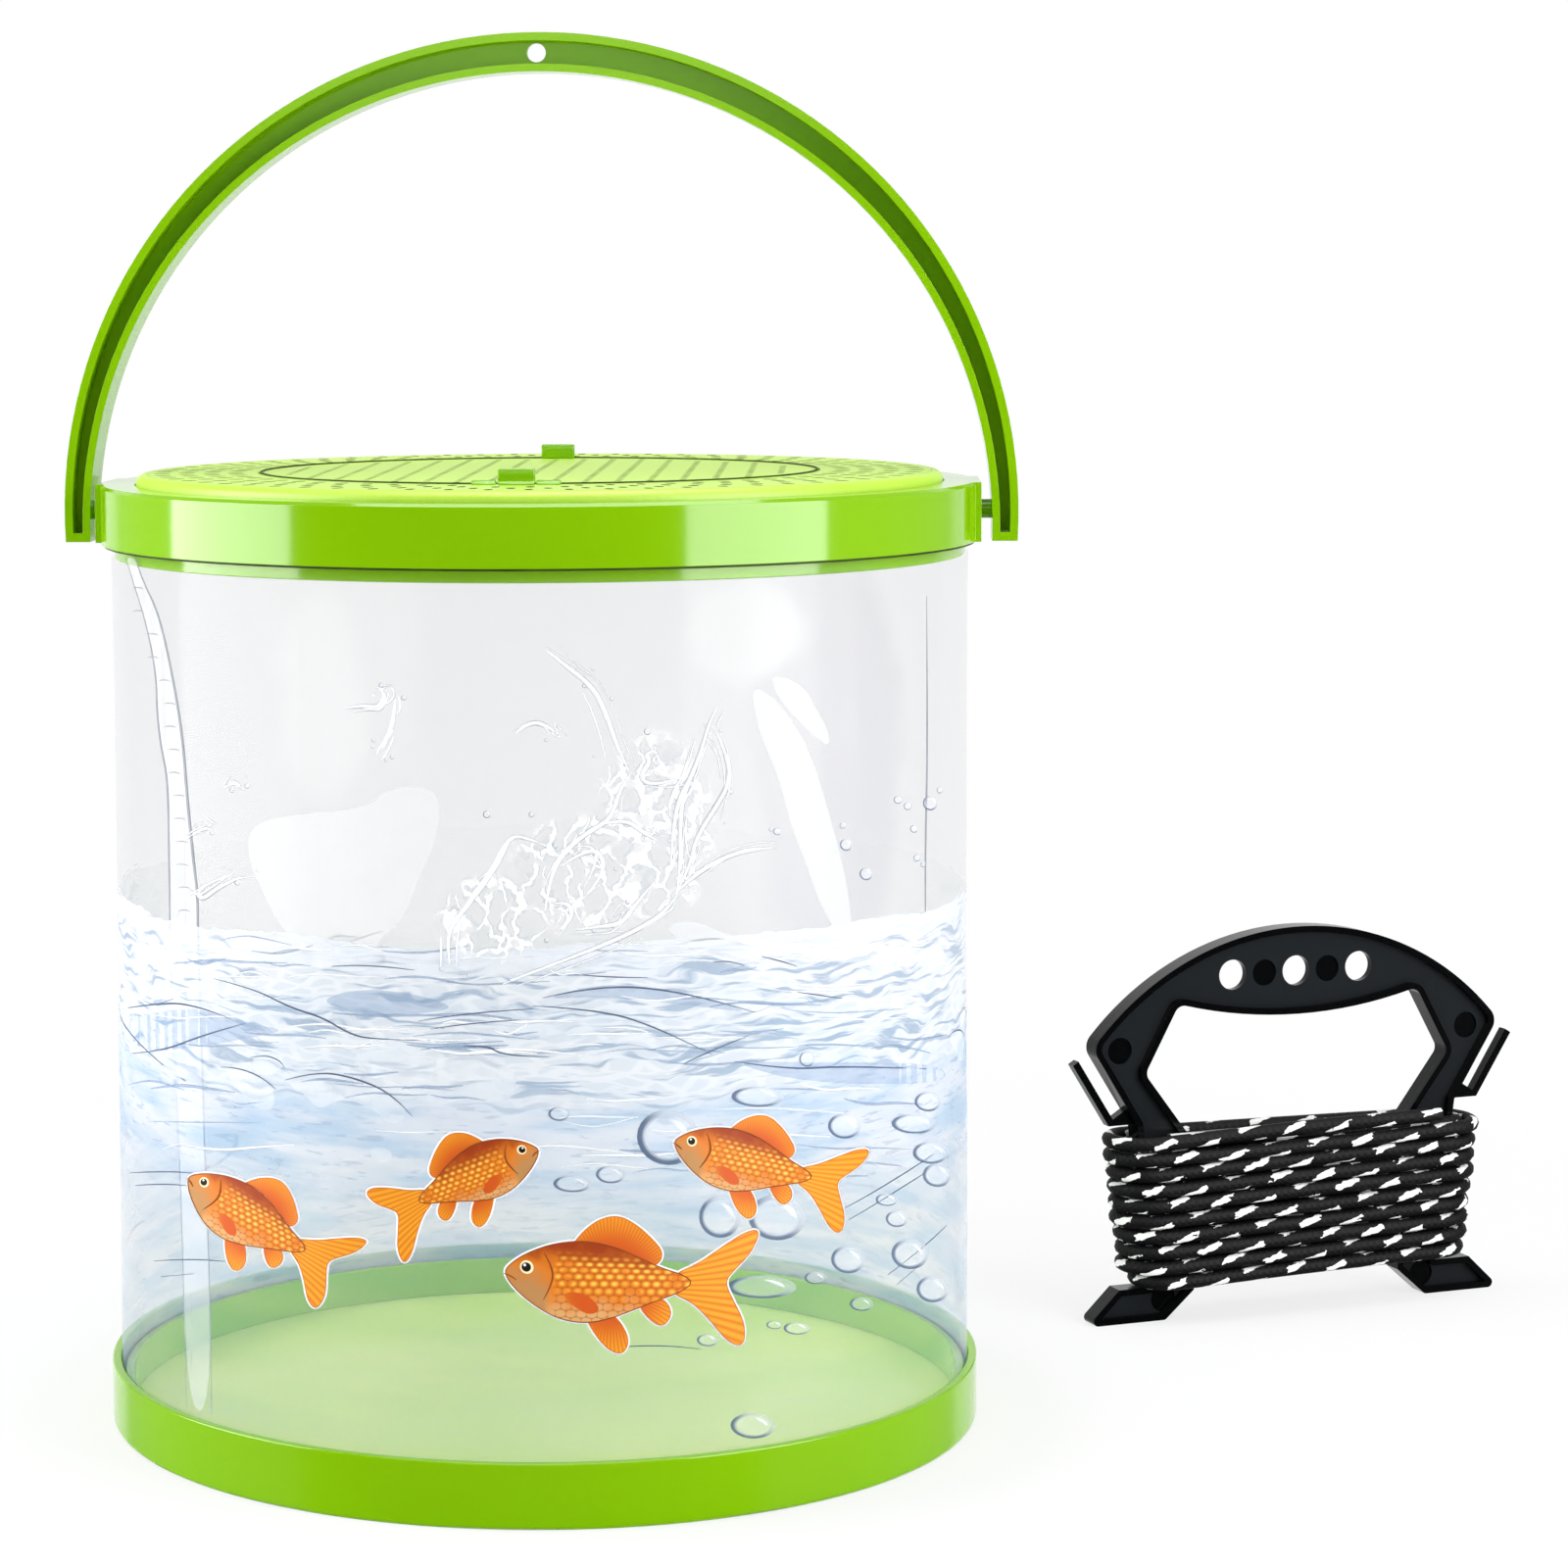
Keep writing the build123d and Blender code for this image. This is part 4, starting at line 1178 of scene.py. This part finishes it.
glint = add_node(tree, "Math", (
    glint,
    add_node(tree, "MapRange", (out_from_middle, 0.75, 0.6), interpolation_type="SMOOTHSTEP"),
), operation="MULTIPLY")
shade = add_node(
    tree, "Mix", {0: rim_dark, 6: linear("E8EDF5"), 7: linear("465B7A")}, out=2, data_type="RGBA"
)
tree.links.new(shade, shader.inputs["Base Color"])
clear = add_node(tree, "Math", (rim_dark, 0.7, 0.16), operation="MULTIPLY_ADD")
glint = add_node(tree, "Math", (glint, 0.8), operation="MULTIPLY")
tree.links.new(add_node(tree, "Math", (clear, glint), operation="MAXIMUM"), shader.inputs["Alpha"])
bubbles = [
    (50, 125, 9.7, 8.8), (66, 100, 6.6, 6.6), (84, 100, 9.0, 7.3), (16, 132, 3.4, 2.2),
    (20, 110, 6.0, 2.7), (32, 113, 4.6, 2.8), (78, 138, 8.2, 3.2), (79, 78, 11.0, 3.6),
    (96, 81, 3.4, 2.0), (106, 87, 5.2, 4.4), (125, 89, 5.8, 4.8), (132, 78, 5.0, 4.2),
    (110, 73, 3.6, 2.2), (105, 129, 5.2, 4.0), (130, 137, 3.9, 3.1), (126, 130, 6.6, 3.1),
    (131, 121, 5.4, 3.5), (133, 114, 4.4, 3.8), (118, 106, 3.4, 2.0), (121, 100, 3.4, 2.6),
    (90, 65, 4.2, 2.0), (83, 66, 2.6, 1.3), (62, 61, 3.4, 2.0), (76, 34, 7.0, 4.1),
]
drop_discs = [disc(x, z, r, r) for x, z, r in drops + spray_drops]
printed("bubbles", [disc(*b) for b in bubbles] + drop_discs, bubble_ink, 8)
printed("bubbles_behind", [disc(*b) for b in bubbles[::2]], bubble_ink, 8, (pi,))

# goldfish: a body with gill, eye and mouth, five fins, a white rim round all, and a thin brown
# outline. In its own drawing a fish swims to the left, is 100 long, and has its nose at 0, 0.
fish_body = [
    (-1, 0), (1.5, 4), (8, 9.5), (19, 15), (32, 17.5), (45, 15.5), (56, 11), (66, 6.5), (74, 4),
    (79, 0.5), (74, -3.5), (66, -6.5), (56, -10.5), (46, -15), (35, -18), (23, -17), (12, -12),
    (3, -5.5),
]
fish_fins = {
    "tail": [
        (70, 4), (80, 8), (90, 15), (100, 21), (106, 21), (103, 12), (96, 5), (92, 0), (96, -8),
        (102, -19), (102, -29), (95, -26), (87, -16), (79, -8), (70, -4),
    ],
    "back": [
        (26, 13), (31, 21), (38, 27), (46, 29), (54, 25), (61, 19), (66, 13), (63, 7), (50, 9),
        (37, 11),
    ],
    "belly": [(34, -14), (38, -21), (44, -28), (51, -31), (54, -25), (50, -17), (44, -12)],
    "vent": [(56, -8), (60, -14), (67, -19), (71, -14), (69, -8), (63, -5)],
    "side": [(24, -6), (29, -11), (36, -14.5), (41, -12), (37, -7), (30, -4.5)],
}
gill = [(15.5, 10.5), (19.5, 5), (20, -2), (16.5, -9.5)]
mouth = [(-1, -0.5), (2.5, -1), (4.5, -2.6)]
fish_places = [             # nose, nose-to-tail length, tilt in degrees, swims right, bend
    ((-101, 110), 55, -33, False, 3.0),
    ((9, 121), 52, 23, True, -2.5),
    ((-1, 81), 74, -4, False, 3.0),
    ((52, 123), 56, -15, False, 2.0),
]


def posed(mesh, fish):
    """A part of the fish's own drawing, bent as it swims and put in its place in the water."""
    (x, z), length, tilt, swims_right, bend = fish
    for vert in mesh.vertices:
        vert.co.y += bend * ((vert.co.x - 30) / 50) ** 2
    scale = length / 100
    stretch = Matrix.Diagonal((-scale if swims_right else scale, scale, 1, 1))
    turned = Matrix.Rotation(radians(tilt), 4, "Z")
    mesh.transform(Matrix.Translation((x, z, 0)) @ turned @ stretch)
    return mesh


def fish_parts(shapes, nib=0.0, closed=False, filled=False):
    """The same shapes or lines of all four fish, each in its place."""
    parts = []
    for fish in fish_places:
        for shape in shapes:
            line = drawn(shape, nib * 100 / fish[1], closed, filled)
            parts.append(posed(mapped(line) if filled else line, fish))
    return parts


# screen-printed ink, goldfish: deep orange-red along the back, orange sides, a pale belly, and
# a gold crescent on every scale
scale_ink, tree, shader = new_material(
    "screen-printed ink, goldfish", {"Roughness": 0.4, "Specular IOR Level": 0.15}
)
own = add_node(tree, "UVMap", uv_map="own")
along, high, _ = add_node(tree, "SeparateXYZ", (own,), out=None)
mottle = add_node(tree, "TexNoise", {"Vector": own, "Scale": 9.0, "Detail": 3.0})
scale_width, scale_height = 4.4, 2.9    # hundredths of the fish's length
bent_high = add_node(tree, "Math", (along, -0.05, high), operation="MULTIPLY_ADD")
scale_rows = add_node(tree, "Math", (bent_high, 100 / scale_height), operation="MULTIPLY")
odd_row = add_node(tree, "Math", (
    add_node(tree, "Math", (scale_rows,), operation="FLOOR"), 2.0,
), operation="FLOORED_MODULO")
half_scale = add_node(tree, "Math", (odd_row, 0.5), operation="MULTIPLY")
scale_columns = add_node(
    tree, "Math", (along, 100 / scale_width, half_scale), operation="MULTIPLY_ADD"
)
in_column = add_node(tree, "Math", (
    add_node(tree, "Math", (scale_columns,), operation="FRACT"), 0.45,
), operation="SUBTRACT")
in_row = add_node(tree, "Math", (
    add_node(tree, "Math", (scale_rows,), operation="FRACT"), 0.5,
), operation="SUBTRACT")
in_scale = add_node(tree, "CombineXYZ", (in_column, in_row))
from_scale = add_node(tree, "VectorMath", (in_scale,), out="Value", operation="LENGTH")
behind_gill = add_node(tree, "MapRange", (along, 0.19, 0.23), interpolation_type="SMOOTHSTEP")
scale_edge = add_node(tree, "Math", (
    add_node(tree, "MapRange", (from_scale, 0.4, 0.62), interpolation_type="SMOOTHSTEP"),
    behind_gill,
), operation="MULTIPLY")
scale_shine = add_node(tree, "Math", (
    add_node(tree, "MapRange", (from_scale, 0.42, 0.1), interpolation_type="SMOOTHSTEP"),
    behind_gill,
), operation="MULTIPLY")
mottled = add_node(tree, "Math", (
    add_node(tree, "Math", (mottle, 0.5), operation="SUBTRACT"), 0.16,
), operation="MULTIPLY")
height = add_node(tree, "Math", (high, mottled), operation="ADD")
flank = add_node(tree, "Mix", {
    0: add_node(tree, "MapRange", (height, 0.02, 0.15), interpolation_type="SMOOTHSTEP"),
    6: linear("DC7A1A"),
    7: linear("9C370A"),
}, out=2, data_type="RGBA")
flank = add_node(tree, "Mix", {
    0: add_node(tree, "MapRange", (height, -0.06, -0.16), interpolation_type="SMOOTHSTEP"),
    6: flank,
    7: linear("D8A468"),
}, out=2, data_type="RGBA")
flank = add_node(tree, "Mix", {
    0: add_node(tree, "Math", (scale_edge, 0.6), operation="MULTIPLY"),
    6: flank,
    7: linear("98400C"),
}, out=2, data_type="RGBA")
lit_band = add_node(tree, "Math", (
    add_node(tree, "MapRange", (high, -0.1, -0.01), interpolation_type="SMOOTHSTEP"),
    add_node(tree, "MapRange", (high, 0.125, 0.05), interpolation_type="SMOOTHSTEP"),
), operation="MULTIPLY")
lit_band = add_node(tree, "Math", (
    lit_band, add_node(tree, "MapRange", (mottle, 0.36, 0.52), interpolation_type="SMOOTHSTEP"),
), operation="MULTIPLY")
golden = add_node(tree, "Math", (scale_shine, lit_band), operation="MULTIPLY")
flank = add_node(tree, "Mix", {0: golden, 6: flank, 7: linear("F4C850")}, out=2, data_type="RGBA")
cheek = add_node(tree, "Math", (
    add_node(tree, "MapRange", (along, 0.2, 0.16), interpolation_type="SMOOTHSTEP"),
    add_node(tree, "MapRange", (height, 0.06, -0.05), interpolation_type="SMOOTHSTEP"),
), operation="MULTIPLY")
flank = add_node(tree, "Mix", {0: cheek, 6: flank, 7: linear("B98650")}, out=2, data_type="RGBA")
tree.links.new(flank, shader.inputs["Base Color"])

# screen-printed ink, fins: yellow to orange, with rays that fan out from the body
fin_ink, tree, shader = new_material(
    "screen-printed ink, fins", {"Roughness": 0.4, "Specular IOR Level": 0.15}
)
own = add_node(tree, "UVMap", uv_map="own")
along, high, _ = add_node(tree, "SeparateXYZ", (own,), out=None)
east = add_node(tree, "Math", (along, 0.44), operation="SUBTRACT")
fan = add_node(tree, "Math", (high, east), operation="ARCTAN2")
rays = add_node(tree, "Math", (
    add_node(tree, "Math", (fan, 34.0), operation="MULTIPLY"), 1.0,
), operation="PINGPONG")
fin = add_node(tree, "Mix", {
    0: add_node(tree, "MapRange", (rays, 0.2, 0.9), interpolation_type="SMOOTHSTEP"),
    6: linear("EDA022"),
    7: linear("DB7A18"),
}, out=2, data_type="RGBA")
from_root = add_node(tree, "CombineXYZ", (east, high))
outward = add_node(tree, "VectorMath", (from_root,), out="Value", operation="LENGTH")
fin = add_node(tree, "Mix", {
    0: add_node(tree, "MapRange", (outward, 0.32, 0.14), interpolation_type="SMOOTHSTEP"),
    6: fin,
    7: linear("CC5414"),
}, out=2, data_type="RGBA")
tree.links.new(fin, shader.inputs["Base Color"])

line_ink = flat_coat("screen-printed ink, brown", "7A3B12", "9A5218")
eye_ink = flat_coat("screen-printed ink, pale gold", "F6E3A8", "FBF2D2")
pupil_ink = flat_coat("screen-printed ink, black", "16120E", "241C16")
main_fins = [fish_fins[name] for name in ("tail", "back", "belly", "vent")]
outlines = main_fins + [fish_body]
printed("fish_rims", fish_parts(outlines, 0.7, closed=True), white_ink, 11)
printed("fish_fins", fish_parts(main_fins, filled=True), fin_ink, 14)
fin_line_ink = flat_coat("screen-printed ink, deep orange", "C96A1C", "DC8428", 0.8)
printed("fish_fin_lines", fish_parts(main_fins, 0.16, closed=True), fin_line_ink, 15)
printed("fish_bodies", fish_parts([fish_body], filled=True), scale_ink, 17)
printed("fish_side_fins", fish_parts([fish_fins["side"]], filled=True), fin_ink, 18)
fish_lines = fish_parts([fish_body], 0.16, closed=True) + fish_parts([gill, mouth], 0.34)
printed("fish_lines", fish_lines, line_ink, 19)
for name, radius, place, ink, order in (
    ("fish_eyes", 2.9, (8.6, 3.6), eye_ink, 20),
    ("fish_pupils", 2.0, (8.4, 3.6), pupil_ink, 21),
    ("fish_glints", 0.6, (7.7, 4.4), white_ink, 22),
):
    spots = [posed(disc(*place, radius, radius), fish) for fish in fish_places]
    printed(name, spots, ink, order)

# Floor and studio. A white floor under a white room, open to a dark side behind the camera. A tall
# soft box on each side of the tank gives the green bands their sharp highlights, and one above and
# one in front lift the lid and the film.
bm = bmesh.new()
bmesh.ops.create_grid(bm, x_segments=1, y_segments=1, size=8)
floor = added_piece("floor", bm, smooth=False)

# matt white board: it shows the object's soft shadow near the object, and is plain white beyond
backdrop, tree, shader = new_material(
    "matt white board",
    {"Base Color": (0.88, 0.88, 0.88, 1), "Roughness": 1.0, "Specular IOR Level": 0.0},
)
ray = add_node(tree, "LightPath", out=None)
seen = add_node(tree, "Math", (ray["Is Camera Ray"], ray["Is Glossy Ray"]), operation="MAXIMUM")
seen = add_node(tree, "Math", (seen, ray["Is Transmission Ray"]), operation="MAXIMUM")
place = add_node(tree, "TexCoord", out="Object")
away = add_node(tree, "VectorMath", (place,), out="Value", operation="LENGTH")
glow = add_node(tree, "Emission", {"Color": (1, 1, 1, 1), "Strength": 1.0})
far = add_node(tree, "MapRange", (away, 0.25, 0.75), interpolation_type="SMOOTHSTEP")
share = add_node(tree, "Math", (far, 0.26, 0.74), operation="MULTIPLY_ADD")
share = add_node(tree, "Math", (seen, share), operation="MULTIPLY")
mix = add_node(tree, "MixShader", (share, shader.outputs[0], glow))
tree.links.new(mix, tree.nodes["Material Output"].inputs["Surface"])
floor.data.materials.append(backdrop)
floor.visible_glossy = False

world = bpy.data.worlds.new("studio")
bpy.context.scene.world = world
world.use_nodes = True
tree = world.node_tree
ray = add_node(tree, "LightPath", out=None)
sight = add_node(
    tree, "Math", (ray["Is Camera Ray"], ray["Is Transmission Ray"]), operation="MAXIMUM"
)
toward = add_node(tree, "TexCoord", out="Generated")
toward_xyz = add_node(tree, "SeparateXYZ", (toward,), out=None)
dark_side = add_node(
    tree, "MapRange", (toward_xyz["Y"], -0.55, -0.35), interpolation_type="SMOOTHSTEP"
)
walls = add_node(tree, "MapRange", (toward_xyz["Y"], 0.7, 0.8), interpolation_type="SMOOTHSTEP")
walls = add_node(tree, "Math", (walls, 0.55), operation="MULTIPLY")
room = add_node(tree, "Math", (dark_side, 0.45, walls), operation="MULTIPLY_ADD")
ambient = 0.36              # of the light that the room seems to give, when the camera looks at it
strength = add_node(tree, "Math", (sight, 1 - ambient, ambient), operation="MULTIPLY_ADD")
gloss = ray["Is Glossy Ray"]
strength = add_node(tree, "Math", (
    strength, add_node(tree, "Math", (1.0, gloss), operation="SUBTRACT"),
), operation="MULTIPLY")
strength = add_node(tree, "Math", (gloss, room, strength), operation="MULTIPLY_ADD")
tree.nodes["Background"].inputs["Color"].default_value = (1, 1, 1, 1)
tree.links.new(strength, tree.nodes["Background"].inputs["Strength"])


def soft_box(name, place, target, width, height, power, in_gloss=True, on_matt=True):
    """A rectangular lamp that faces a point, and shows in gloss, lights the rest, or both."""
    lamp = bpy.data.lights.new(name, "AREA")
    lamp.shape = "RECTANGLE"
    lamp.size = width
    lamp.size_y = height
    lamp.energy = power
    holder = bpy.data.objects.new(name, lamp)
    bpy.context.scene.collection.objects.link(holder)
    holder.location = place
    holder.rotation_euler = (Vector(place) - Vector(target)).to_track_quat("Z", "Y").to_euler()
    holder.visible_glossy = in_gloss
    holder.visible_diffuse = on_matt
    return holder


left_place, right_place = Vector((-1.37, -0.26, 0.66)), Vector((1.20, -0.72, 0.66))
tank_side, lid_middle = (0, 0, 0.66), (0, 0, 0.2)
soft_box("left_lamp", left_place, tank_side, 1.00, 1.30, 24, in_gloss=False)
soft_box("right_lamp", right_place, tank_side, 0.90, 1.30, 18, in_gloss=False)
soft_box("top_lamp", (0.1, -0.1, 1.9), lid_middle, 1.6, 1.4, 17, in_gloss=False)

# each panel shows in gloss alone, and stands a little before its lamp, which would hide it
before = 0.97
tank_side = (0, 0, 0.64)
soft_box("left_panel", left_place * before, tank_side, 1.02, 1.30, 44, on_matt=False)
right_panel = soft_box(
    "right_panel", right_place * before, tank_side, 0.96, 1.30, 42, on_matt=False
)
soft_box("top_panel", (0.1, -0.1, 1.85), lid_middle, 1.6, 1.4, 60, on_matt=False)
soft_box("front_panel", (0.2, -2.6, 1.0), (0, 0, 0.5), 2.4, 0.9, 12, on_matt=False)
off_winder = bpy.data.collections.new("off the winder")
off_winder.objects.link(winder)
off_winder.collection_objects[0].light_linking.link_state = "EXCLUDE"
right_panel.light_linking.receiver_collection = off_winder

bpy.context.scene.view_settings.view_transform = "Standard"
